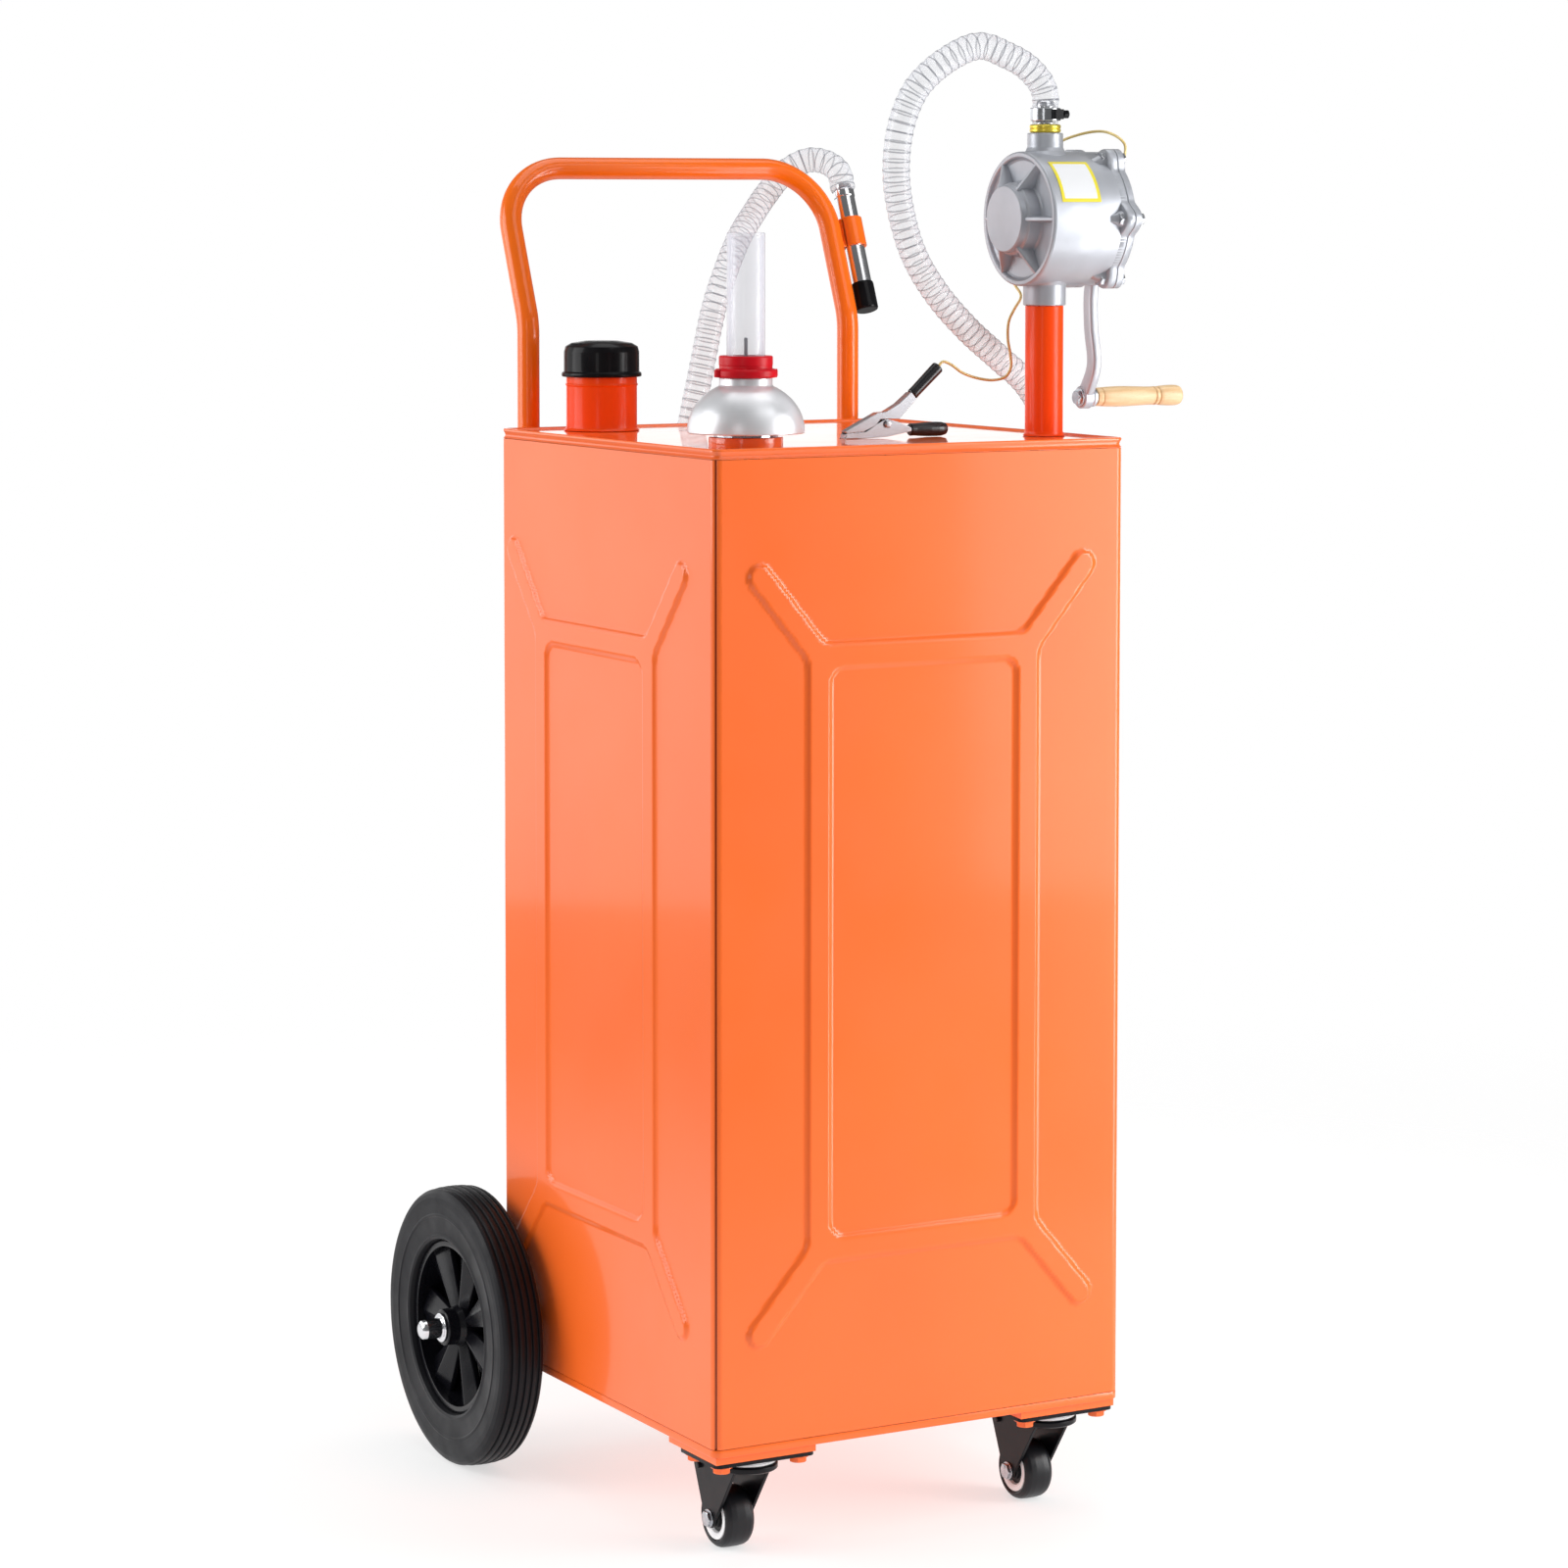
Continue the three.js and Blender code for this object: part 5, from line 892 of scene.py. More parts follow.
def label_finish():
    """Printed film: yellow up to 3 mm from its edge and white inside."""
    made, tree, shader, where = new_finish("blank_label_film")
    inside = ranged(tree, own_value(tree, "edge"), 0.0030, 0.0033, 0.0, 1.0)
    tree.links.new(tinted(tree, inside, (0.82, 0.70, 0.03), (0.80, 0.81, 0.83)), shader.inputs["Base Color"])
    roughened(tree, shader, where, 0.28, 0.38, 120.0)
    return made


label_x, label_turn = np.linspace(-0.0180, 0.0215, 60), np.radians(np.linspace(14.5, 57.0, 48))
lx, lt = np.meshgrid(label_x, label_turn, indexing="ij")
label_r = DRUM + 0.0003
label_y, label_z = PUMP_PLACE[0] - label_r * np.cos(lt), PUMP_PLACE[1] + label_r * np.sin(lt)
label_shell = skin(np.stack([PUMP_X + lx, label_y, label_z], -1), around=False, ends=(False, False))
label = show("blank_pump_label", label_shell, label_finish(), "tank", closed=False)
rim_way = np.minimum(np.minimum(lx - label_x[0], label_x[-1] - lx),
                     np.minimum(lt - label_turn[0], label_turn[-1] - lt) * DRUM)
keep_value(label, "edge", rim_way)

# Pump cover: a cast disc with six ribs, a raised middle and a gland for the shaft, held by six bolts.
cover_shell = lugged_slab([
    (0.0006, 0.0493), (0.0, 0.0498), (0.0, 0.0553), (0.0004, 0.0560), (0.0012, 0.0563), (0, 0.0563, 0.0520),
    (0, 0.0558, 0.0505), (0, 0.0558, 0.0360), (0, 0.0565, 0.0345), (0, 0.0608, 0.0180), (0, 0.0614, 0.0155),
    (0, 0.0622, 0.0150), (0, 0.0638, 0.0150), (0, 0.0643, 0.0145), (0, 0.0643, 0.0085), (0, 0.0630, 0.0078)])
web_run = np.linspace(0.018, 0.050, 6)[:, None]
web_wide = np.array([-0.0022, -0.0014, 0.0014, 0.0022])
web_high = 0.0550 + np.array([0, 1, 1, 0]) * np.linspace(0.0062, 0.0022, 6)[:, None]
cover_ribs = [skin(about_pump(web_high, web_run, web_wide, turn + math.pi / 6)) for turn in sixths]
show("pump_cover_casting", together(cover_shell, *cover_ribs), cast_metal, "tank", "pump_cover",
     sharp=38)
bolts = [hex_head("x", 0.0055, PUMP_X + 0.0562, PUMP_X + 0.0608, spot, 0.0062) for spot in lug_spots]
show("pump_cover_bolts", together(*bolts), zinc, "tank")

# Crank: an S-shaped cast arm with a boss at each end, fixed on the shaft by a nut; a wooden grip turns on
# a bolt through its lower boss.
CRANK_THROW, CRANK_LAG = 0.1634, 0.0435
EYE_PLACE = (PUMP_PLACE[0] + CRANK_LAG, PUMP_PLACE[1] - math.sqrt(CRANK_THROW**2 - CRANK_LAG**2))
ARM_SPAN = (PUMP_X + 0.0653, PUMP_X + 0.0753)
ARM_THICK = 0.0044
bow_shares = [(0, 0), (0.13, 0.19), (0.205, 0.38), (0.205, 0.58), (0.175, 0.79), (0.266, 0.964)]
bow = [(0.0, y * CRANK_THROW, -z * CRANK_THROW) for y, z in bow_shares]
arm_line, arm_ways, _ = smooth_route(bow, 48)
arm_share = np.linspace(0, 1, 48)
arm_swell = 0.0022 * np.exp(-((arm_share / 0.16) ** 2)) + 0.0010 * np.exp(-(((1 - arm_share) / 0.12) ** 2))
arm_half = 0.0066 + arm_swell[:, None]
across_y, across_z = -arm_ways[:, 2], arm_ways[:, 1]
section_turn = np.linspace(0, 2 * np.pi, 28, endpoint=False)
sq_across = np.sign(np.cos(section_turn)) * np.abs(np.cos(section_turn)) ** 0.45
sq_thick = np.sign(np.sin(section_turn)) * np.abs(np.sin(section_turn)) ** 0.45
arm_y = PUMP_PLACE[0] + arm_line[:, 1:2] + arm_half * sq_across * across_y[:, None]
arm_z = PUMP_PLACE[1] + arm_line[:, 2:3] + arm_half * sq_across * across_z[:, None]
arm_x = np.broadcast_to(sum(ARM_SPAN) / 2 + ARM_THICK * sq_thick, arm_y.shape)
arm_shell = skin(np.stack([arm_x, arm_y, arm_z], -1))


def crank_boss(radius, place, sides):
    """One round boss of the crank, as thick as the arm's whole span, with a small step at both faces."""
    low, high = ARM_SPAN
    rows = [(0, low), (radius - 0.0008, low), (radius, low + 0.001), (radius, high - 0.001),
            (radius - 0.0008, high), (0, high)]
    return turned("x", rows, place, sides, 0.0006)


crank_shell = together(arm_shell, crank_boss(0.0140, PUMP_PLACE, 64), crank_boss(0.0100, EYE_PLACE, 48))
show("crank_arm_casting", crank_shell, cast_metal, "crank", "crank_arm", sharp=38)
shaft_rows = above(PUMP_X, [(0, -0.0365), (0.007, -0.0365), (0.007, 0.0822), (0.0062, 0.0830), (0, 0.0830)])
shaft_shell = together(
    turned("x", shaft_rows, PUMP_PLACE, 40, 0.0003),
    hex_head("x", 0.0110, ARM_SPAN[1] + 0.0003, ARM_SPAN[1] + 0.0063, PUMP_PLACE, 0.0122))
show("crank_shaft_and_nut", shaft_shell, zinc, "crank", "crank_shaft")
bolt_shell = together(
    hex_head("x", 0.0065, ARM_SPAN[0] - 0.0001, ARM_SPAN[0] - 0.0045, EYE_PLACE, 0.0082),
    peg("x", 0.004, ARM_SPAN[0], ARM_SPAN[1] + 0.070, EYE_PLACE, 24, 0),
    turned("x", above(ARM_SPAN[1], [(0, 0.0002), (0.0074, 0.0002), (0.0086, 0.0014), (0.0086, 0.0040),
                                    (0.0078, 0.0047), (0, 0.0047)]), EYE_PLACE, 40, 0.0005))
show("grip_bolt_and_collar", bolt_shell, zinc, "crank", "grip_bolt")


def beech_finish():
    """Turned beech under thin varnish: long pale growth bands along the grip and short dark flecks."""
    made, tree, shader, where = new_finish("varnished_beech")
    place = wired(tree, "ShaderNodeMapping", Vector=where, Scale=(0.12, 1.0, 1.0))
    bands = wired(tree, "ShaderNodeTexNoise", Vector=place.outputs["Vector"], Scale=260.0, Detail=3.0)
    tone = ranged(tree, bands.outputs["Fac"], 0.32, 0.68, 0.0, 1.0)
    wood = tinted(tree, tone, (0.70, 0.46, 0.23), (0.80, 0.58, 0.33))
    fleck_place = wired(tree, "ShaderNodeMapping", Vector=where, Scale=(0.30, 2.2, 2.2))
    flecks = wired(tree, "ShaderNodeTexNoise", Vector=fleck_place.outputs["Vector"], Scale=900.0, Detail=1.0)
    dark = ranged(tree, flecks.outputs["Fac"], 0.62, 0.74, 0.0, 0.35)
    tree.links.new(tinted(tree, dark, wood, (0.46, 0.25, 0.10)), shader.inputs["Base Color"])
    roughened(tree, shader, where, 0.38, 0.5, 60.0)
    bumped(tree, shader, bands.outputs["Fac"], 0.00006, 0.5)
    set_shader(shader, Coat_Weight=0.2, Coat_Roughness=0.25)
    return made


grip_rows = [(0.0, 0.0003), (0.0070, 0.0003), (0.0080, 0.0012), (0.0083, 0.0050), (0.0083, 0.0053),
             (0.0076, 0.0060), (0.0076, 0.0064), (0.0084, 0.0071), (0.0088, 0.0140), (0.0091, 0.0230),
             (0.0090, 0.0330), (0.0086, 0.0430), (0.0082, 0.0530), (0.0081, 0.0600)]
for groove in (0.0619, 0.0664):
    grip_rows += above(groove, [(0.0082, -0.0010), (0.0073, -0.0002), (0.0073, 0.0002), (0.0083, 0.0010)])
grip_rows += [(0.0087, 0.0700), (0.0091, 0.0770), (0.0092, 0.0830), (0.0090, 0.0865), (0.0083, 0.0893),
              (0.0070, 0.0905), (0.0, 0.0909)]
grip_shell = turned("x", above(ARM_SPAN[1] + 0.005, grip_rows), EYE_PLACE, 64, 0.0004, 2)
show("wooden_grip", grip_shell, beech_finish(), "grip", "crank_grip", sharp=50)

# Outlet: a yellow-plated ring on the pump's upper neck carries the barb that the hose is pushed over, and
# a steel band with a black screw block holds the hose on it.
RING_BASE = 1.0973


def brass_finish():
    """Yellow passivated plating: a warm metal with soft darker patches."""
    made, tree, shader, where = new_finish("yellow_plating")
    coloured(tree, shader, where, (0.86, 0.70, 0.10), (0.70, 0.52, 0.05), 60.0)
    roughened(tree, shader, where, 0.24, 0.36, 80.0)
    set_shader(shader, Metallic=0.6, Specular_IOR_Level=0.5)
    return made


outlet_rows = above(RING_BASE, [
    (0, 0), (0.0125, 0), (0.0135, 0.001), (0.0135, 0.0028), (0.0127, 0.0034), (0.0135, 0.0040),
    (0.0135, 0.0060), (0.0126, 0.007), (0, 0.007)])
show("outlet_ring_turning", turned("z", outlet_rows, COLUMN_PLACE, 64, 0.0003), brass_finish(), "tank",
     "outlet_ring")
# The chrome's colour darkens strongly towards its outline: painted dark reflection.
chrome = spun_finish("bright_chrome", (0.84, 0.85, 0.88), 0.17, rim=0.7)
barb_base = RING_BASE + 0.007
barb_rows = [(0, barb_base)]
for k in range(4):
    barb_rows += above(barb_base + 0.0006 + 0.0048 * k, [(0.0086, 0), (0.0086, 0.0008), (0.0074, 0.0046)])
barb_rows += [(0.0060, barb_base + 0.0205), (0, barb_base + 0.0205)]
show("outlet_barb", turned("z", barb_rows, COLUMN_PLACE, 48, 0.0002), chrome, "tank")
band_low = RING_BASE + 0.0102
band_rows = above(band_low, [(0.0122, 0), (0.0130, 0), (0.0133, 0.0005), (0.0133, 0.0105), (0.0130, 0.011),
                             (0.0122, 0.011)])
band_steel = spun_finish("band_steel", (0.66, 0.68, 0.71), 0.2)
show("hose_band", ring_turned("z", band_rows, COLUMN_PLACE, 96, 0.0002), band_steel, "tank", "hose_clamp")


def block(low, high):
    """A block between two corners; its edges are softened by the piece's own bevel."""
    (x0, y0, z0), (x1, y1, z1) = low, high
    return skin(np.array([[(x0, y0, z), (x1, y0, z), (x1, y1, z), (x0, y1, z)] for z in (z0, z1)]))


screw_place = (COLUMN_PLACE[1] - 0.0158, band_low + 0.0055)
screw_block = together(
    block((COLUMN_PLACE[0] - 0.001, COLUMN_PLACE[1] - 0.0185, band_low + 0.0012),
          (COLUMN_PLACE[0] + 0.0075, COLUMN_PLACE[1] - 0.0128, band_low + 0.0098)),
    peg("x", 0.0026, 0.1695, 0.1780, screw_place, 28, 0.0002),
    hex_head("x", 0.0040, 0.1775, 0.1828, screw_place))
show("hose_band_screw", screw_block, black_plastic, "tank", bevel=0.0005)

# Push handle: one steel tube, bent twice in each leg's plane and twice at its top corners, painted amber
# orange. Each of its feet is held on the rear wall by a plate with two bolted saddles.


def bent_line(points, radius):
    """Stops and directions along straight runs joined by arcs, each tangent to both of its neighbours."""
    arc_steps, line_steps = 18, 6
    p = [np.asarray(q, float) for q in points]
    stops, ways, start = [], [], p[0]
    for k in range(1, len(p) - 1):
        back, ahead = p[k - 1] - p[k], p[k + 1] - p[k]
        back, ahead = back / np.linalg.norm(back), ahead / np.linalg.norm(ahead)
        half = math.acos(back.dot(ahead)) / 2
        reach = radius / math.tan(half)
        centre = p[k] + (back + ahead) / np.linalg.norm(back + ahead) * radius / math.sin(half)
        first, last = p[k] + back * reach, p[k] + ahead * reach
        t = np.linspace(0, 1, line_steps, endpoint=False)[:, None]
        stops.append(start + (first - start) * t)
        ways.append(np.repeat([-back], line_steps, 0))
        u, swing = first - centre, math.pi - 2 * half
        a = np.linspace(0, swing, arc_steps, endpoint=False)[:, None]
        stops.append(centre + np.cos(a) * u - np.sin(a) * radius * back)
        ways.append(-np.cos(a) * back - np.sin(a) * u / radius)
        start = last
    t = np.linspace(0, 1, line_steps)[:, None]
    stops.append(start + (p[-1] - start) * t)
    end_way = (p[-1] - start) / np.linalg.norm(p[-1] - start)
    ways.append(np.repeat([end_way], line_steps, 0))
    return np.vstack(stops), np.vstack(ways)


HANDLE_HALF, HANDLE_FOOT, LEAN_LENGTH = 0.1653, 0.520, 0.149
HANDLE_BEND, HANDLE_TUBE = 0.060, 0.010
handle_points = [
    (-HANDLE_HALF, LEG_Y, HANDLE_FOOT), on_lean(-HANDLE_HALF, 0), on_lean(-HANDLE_HALF, LEAN_LENGTH),
    on_lean(HANDLE_HALF, LEAN_LENGTH), on_lean(HANDLE_HALF, 0), (HANDLE_HALF, LEG_Y, HANDLE_FOOT)]
handle_stops, handle_ways = bent_line(handle_points, HANDLE_BEND)
amber_paint = paint_finish("amber_powder_coat", (0.90, 0.138, 0.001), (0.92, 0.160, 0.002), 0.6, 0.06, 0.2)
handle_rings = carried(handle_stops, handle_ways, np.full(len(handle_stops), HANDLE_TUBE), 32)
show("push_handle_tube", skin(handle_rings), amber_paint, "tank", "push_handle", sharp=60)


def prism(axis, outline, start, end):
    """A flat outline pushed from start to end along an axis."""
    a, b, c = AXES[axis]
    spots = np.asarray(outline, float)
    grid = np.empty((2, len(spots), 3))
    grid[..., a], grid[..., b] = spots[:, 0], spots[:, 1]
    grid[0, :, c], grid[1, :, c] = start, end
    return skin(grid)


SIDES = ((-1, "left"), (1, "right"))
WALL_FACE = 0.2003
SADDLE_IN, SADDLE_OUT, SADDLE_EAR, SADDLE_HIGH = 0.0103, 0.0143, 0.0283, 0.026
SADDLE_LOW, SADDLE_TOP = 0.547, 0.642
EAR_FACE = WALL_FACE + 0.004
for side, side_name in SIDES:
    x = side * HANDLE_HALF
    over = np.linspace(np.pi, 0, 19)
    outer = [(x + SADDLE_OUT * math.cos(t), LEG_Y + SADDLE_OUT * math.sin(t)) for t in over]
    inner = [(x + SADDLE_IN * math.cos(t), LEG_Y + SADDLE_IN * math.sin(t)) for t in over[::-1]]
    saddle = [(x - SADDLE_OUT, EAR_FACE), *outer, (x + SADDLE_OUT, EAR_FACE), (x + SADDLE_EAR, EAR_FACE),
              (x + SADDLE_EAR, WALL_FACE), (x + SADDLE_IN, WALL_FACE), *inner, (x - SADDLE_IN, WALL_FACE),
              (x - SADDLE_EAR, WALL_FACE), (x - SADDLE_EAR, EAR_FACE)]
    shells = []
    for low in (SADDLE_LOW, SADDLE_TOP):
        shells.append(prism("z", saddle, low, low + SADDLE_HIGH))
        for end in (-1, 1):
            spot = (low + SADDLE_HIGH / 2, x + end * 0.0213)
            shells.append(hex_head("y", 0.0055, WALL_FACE + 0.0039, WALL_FACE + 0.0082, spot, 0.0062))
    shells.append(block((x - SADDLE_OUT, WALL_FACE, SADDLE_LOW),
                        (x + SADDLE_OUT, WALL_FACE + 0.0018, SADDLE_TOP + SADDLE_HIGH)))
    show(side_name + "_leg_saddles", together(*shells), orange_paint, "tank", side_name + "_handle_bracket",
         bevel=0.0006)

# Spout: a chromed tube that hangs in a clip on the handle's right leg; the hose ends on its upper barb,
# and a black cap closes its lower end. Both go with the hose's far end.


def leaned(shell):
    """A shell built with the spout's line as its Z, set on that line along the leaning leg."""
    points, faces = shell
    x, y, z = points[:, 0], points[:, 1], points[:, 2]
    c, s = math.cos(HANDLE_LEAN), math.sin(HANDLE_LEAN)
    return np.stack([SPOUT_X + x, LEG_Y + z * s + y * c, DECK + KNEE + z * c - y * s], 1), faces


spout_rows = [(0.0078, 0.0142), (0.0089, 0.0142), (0.0093, 0.0146), (0.0093, 0.1195), (0.0098, 0.1203),
              (0.0098, 0.1262), (0.0092, 0.1272), (0.0080, 0.1278), (0.0078, 0.1324), (0.0066, 0.1329),
              (0.0060, 0.1329), (0.0060, 0.0142)]
spout_shell = leaned(ring_turned("z", spout_rows, (0, 0), 64, 0.0003))
spout = show("chrome_spout", spout_shell, chrome, "tank", "spout")
end_cap_rows = [(0.0, 0.0070), (0.0088, 0.0070), (0.0102, 0.0075), (0.0108, 0.0090), (0.0108, 0.0322),
                (0.0104, 0.0338), (0.0097, 0.0340), (0.0097, 0.0138), (0.0, 0.0138)]
end_cap = show("spout_end_cap", leaned(turned("z", end_cap_rows, (0, 0), 56, 0.0004)), black_plastic,
               "spout_cap", "spout_cap")
CLIP_OUT, CLIP_IN = 0.0118, 0.0096
clip_turn = np.radians(np.linspace(196, -148, 44))
clip_outline = [(CLIP_OUT * math.cos(t), CLIP_OUT * math.sin(t)) for t in clip_turn]
clip_outline += [(CLIP_IN * math.cos(t), CLIP_IN * math.sin(t)) for t in clip_turn[::-1]]
clip_band = prism("z", clip_outline, 0.070, 0.098)
clip_tab = block((-0.0175, -0.0020, 0.0735), (-0.0105, 0.0020, 0.0945))
clip_tab_lower = block((-0.0160, -0.0030, 0.0700), (-0.0098, 0.0030, 0.0745))
show("spout_clip_band", leaned(together(clip_band, clip_tab, clip_tab_lower)), amber_paint, "tank",
     "spout_clip", bevel=0.0004)

# Axle and rear wheels: a zinc-plated bar in two welded ears carries two large wheels. Each has a solid
# rubber tyre with five grooves on a moulded black rim with seven fan-shaped spokes.
AXLE_Y, AXLE_Z = 0.212, 0.027
AXLE_PLACE = (AXLE_Y, AXLE_Z)


def mirrored(rows):
    """A profile from its first row to the middle, followed by its own mirror image."""
    return rows + above(0, rows[::-1], -1)


axle_rows = mirrored([(0, -0.2655), (0.0072, -0.2655), (0.008, -0.2648)])
show("axle_bar", turned("x", axle_rows, AXLE_PLACE, 40, 0.0003), zinc, "tank", "axle")
EAR_X, EAR_ROUND = 0.178, 0.0125
ear_turn = np.linspace(np.pi / 2, -np.pi / 2, 15)
ear = [(WALL_FACE, AXLE_Z + 0.030), (0.2130, AXLE_Z + 0.030)]
ear += [(0.2135 + EAR_ROUND * math.cos(t), AXLE_Z + EAR_ROUND * math.sin(t)) for t in ear_turn]
ear += [(EAR_FACE, AXLE_Z - 0.0235), (WALL_FACE, AXLE_Z - 0.025)]
for side, side_name in SIDES:
    x = side * EAR_X
    foot = block((x - 0.011, WALL_FACE, AXLE_Z - 0.025), (x + 0.011, WALL_FACE + 0.002, AXLE_Z + 0.030))
    ear_shell = together(prism("x", ear, x - 0.0025, x + 0.0025), foot)
    show(side_name + "_axle_ear", ear_shell, orange_paint, "tank", side_name + "_axle_bracket",
         bevel=0.0006)


def rubber_finish():
    """Tyre rubber: matt black with a faint dusty bloom and a fine grain."""
    made, tree, shader, where = new_finish("tyre_rubber")
    coloured(tree, shader, where, (0.005, 0.005, 0.007), (0.009, 0.009, 0.012), 24.0, 5.0)
    roughened(tree, shader, where, 0.38, 0.52, 40.0)
    grained(tree, shader, where, 650.0, 3.0, 0.00008, 0.7)
    set_shader(shader, Specular_IOR_Level=0.22)
    return made


tyre_rubber = rubber_finish()
rim_plastic = moulded_finish("rim_moulding", (0.003, 0.003, 0.005), 0.24, shine=0.28)
sidewall = [(0.0780, -0.0150), (0.0790, -0.0186), (0.0815, -0.0196), (0.0832, -0.0190), (0.0850, -0.0188),
            (0.0985, -0.0198), (0.0996, -0.0206), (0.1008, -0.0207), (0.1020, -0.0201), (0.1105, -0.0207),
            (0.1160, -0.0206), (0.1200, -0.0194), (0.1226, -0.0174)]
tread = []
for groove in (-0.0132, -0.0066, 0.0, 0.0066, 0.0132):
    crown = 0.1250 - 0.0010 * (groove / 0.0132) ** 2
    tread += [(crown, groove - 0.0015), (crown - 0.0022, groove - 0.0009), (crown - 0.0022, groove + 0.0009),
              (crown, groove + 0.0015)]
tyre_rows = sidewall + tread + above(0, sidewall[::-1], -1)
rim_rows = [(0.0717, -0.0140), (0.0760, -0.0140), (0.0777, -0.0132), (0.0777, 0.0132), (0.0760, 0.0140),
            (0.0717, 0.0140), (0.0730, 0.0060), (0.0730, -0.0060)]
hub_rows = mirrored([(0, -0.0230), (0.0152, -0.0230), (0.0162, -0.0222), (0.0166, -0.0120),
                     (0.0190, -0.0070)])
disc_rows = [(0.0150, 0.0092), (0.0735, 0.0092), (0.0735, 0.0108), (0.0640, 0.0108), (0.0620, 0.0122),
             (0.0590, 0.0122), (0.0570, 0.0108), (0.0330, 0.0108), (0.0310, 0.0122), (0.0150, 0.0122)]
cap_rows = [(0, 0.0), (0.0128, 0.0), (0.0130, 0.0006), (0.0130, 0.0016), (0.0122, 0.0021), (0.0098, 0.0022),
            (0.0090, 0.0030), (0.0090, 0.0165), (0.0082, 0.0195), (0.0060, 0.0212), (0.0, 0.0219)]
SPOKES = 7
WHEEL_X, CAP_X = 0.233, 0.2563


def fan_spoke(turn, middle):
    """One broad spoke between hub and rim: thin at its two edges and thickest along a ridge between them."""
    share = np.linspace(-1, 1, 9)
    thick = 0.0022 + 0.0066 * (1 - np.abs(share))
    rings = np.empty((9, 4, 3))
    edges = ((0.0165, 0.80, -1), (0.0735, 0.62, -1), (0.0735, 0.62, 1), (0.0165, 0.80, 1))
    for column, (radius, spread, way) in enumerate(edges):
        angle = turn + spread * math.pi / SPOKES * share
        rings[:, column, 0] = middle + way * thick
        rings[:, column, 1] = AXLE_Y + radius * np.cos(angle)
        rings[:, column, 2] = AXLE_Z + radius * np.sin(angle)
    return skin(rings)


for side, side_name in SIDES:
    body = side_name + "_wheel"
    middle = side * WHEEL_X
    tyre_shell = ring_turned("x", above(middle, tyre_rows), AXLE_PLACE, 128, 0.0006, 2)
    show(side_name + "_solid_tyre", tyre_shell, tyre_rubber, body, side_name + "_tyre")
    rim_shells = [ring_turned("x", above(middle, rim_rows), AXLE_PLACE, 96, 0.0004),
                  turned("x", above(middle, hub_rows), AXLE_PLACE, 64, 0.0006)]
    rim_shells += [fan_spoke(2 * math.pi * k / SPOKES, middle) for k in range(SPOKES)]
    rim_shells.append(ring_turned("x", above(middle, disc_rows, -side), AXLE_PLACE, 96, 0.0003))
    show(side_name + "_moulded_rim", together(*rim_shells), rim_plastic, body, side_name + "_rim",
         bevel=0.0012)
    cap_shell = turned("x", above(side * CAP_X, cap_rows, side), AXLE_PLACE, 48, 0.0005)
    show(side_name + "_push_cap", cap_shell, chrome, "tank", side_name + "_axle_cap")

# Front casters: a painted pad welded under the tank, a pressed black plate bolted to it, a pale race, and
# a swivelling fork with a rubber wheel and a foot brake behind it.
CASTER_X, CASTER_Y = 0.149, -0.163
ROLLER_BACK, ROLLER_LOW, FOOT_ROUND = 0.034, -0.072, 0.0085
PEDAL_BACK, PEDAL_LOW, PEDAL_LONG, PEDAL_RISE = 0.050, -0.0299, 0.046, 0.011
PLATE_ROUND = 0.006
black_enamel = gloss_finish("black_fork_enamel", (0.003, 0.003, 0.005), 0.32, 0.08, 0.2)
race_white = moulded_finish("race_nylon", (0.74, 0.75, 0.78), 0.35)
caster_rubber = moulded_finish("caster_rubber", (0.006, 0.006, 0.008), 0.36, 0.00004)
kingpin_rows = [(0, -0.0255), (0.0095, -0.0255), (0.011, -0.0245), (0.011, -0.0226), (0.0055, -0.0225),
                (0.0055, -0.0095), (0, -0.0095)]
dish_rows = [(0, -0.0093), (0.0290, -0.0093), (0.0280, -0.0099), (0.0262, -0.0101), (0, -0.0101)]
race_rows = [(0.006, -0.0100), (0.0240, -0.0100), (0.0250, -0.0110), (0.0250, -0.0122), (0.0242, -0.0129),
             (0.0250, -0.0136), (0.0250, -0.0148), (0.0240, -0.0156), (0.006, -0.0156)]
crown_rows = [(0.0057, -0.0219), (0.0245, -0.0219), (0.0260, -0.0208), (0.0260, -0.0172), (0.0248, -0.0160),
              (0.0057, -0.0160)]
wheel_rows = mirrored([(0.0188, -0.0100), (0.0194, -0.0130), (0.0210, -0.0138), (0.0228, -0.0132),
                       (0.0247, -0.0112), (0.0256, -0.0088), (0.0260, -0.0040)])
ring_rows = mirrored([(0.0122, -0.0098), (0.0130, -0.0122), (0.0150, -0.0130), (0.0184, -0.0131),
                      (0.0188, -0.0121)])
core_rows = mirrored([(0.0043, -0.0136), (0.0075, -0.0136), (0.0082, -0.0128), (0.0086, -0.0100),
                      (0.0124, -0.0095)])
lip_rows = mirrored([(0, -0.0100), (0.0032, -0.0100), (0.0040, -0.0092)])
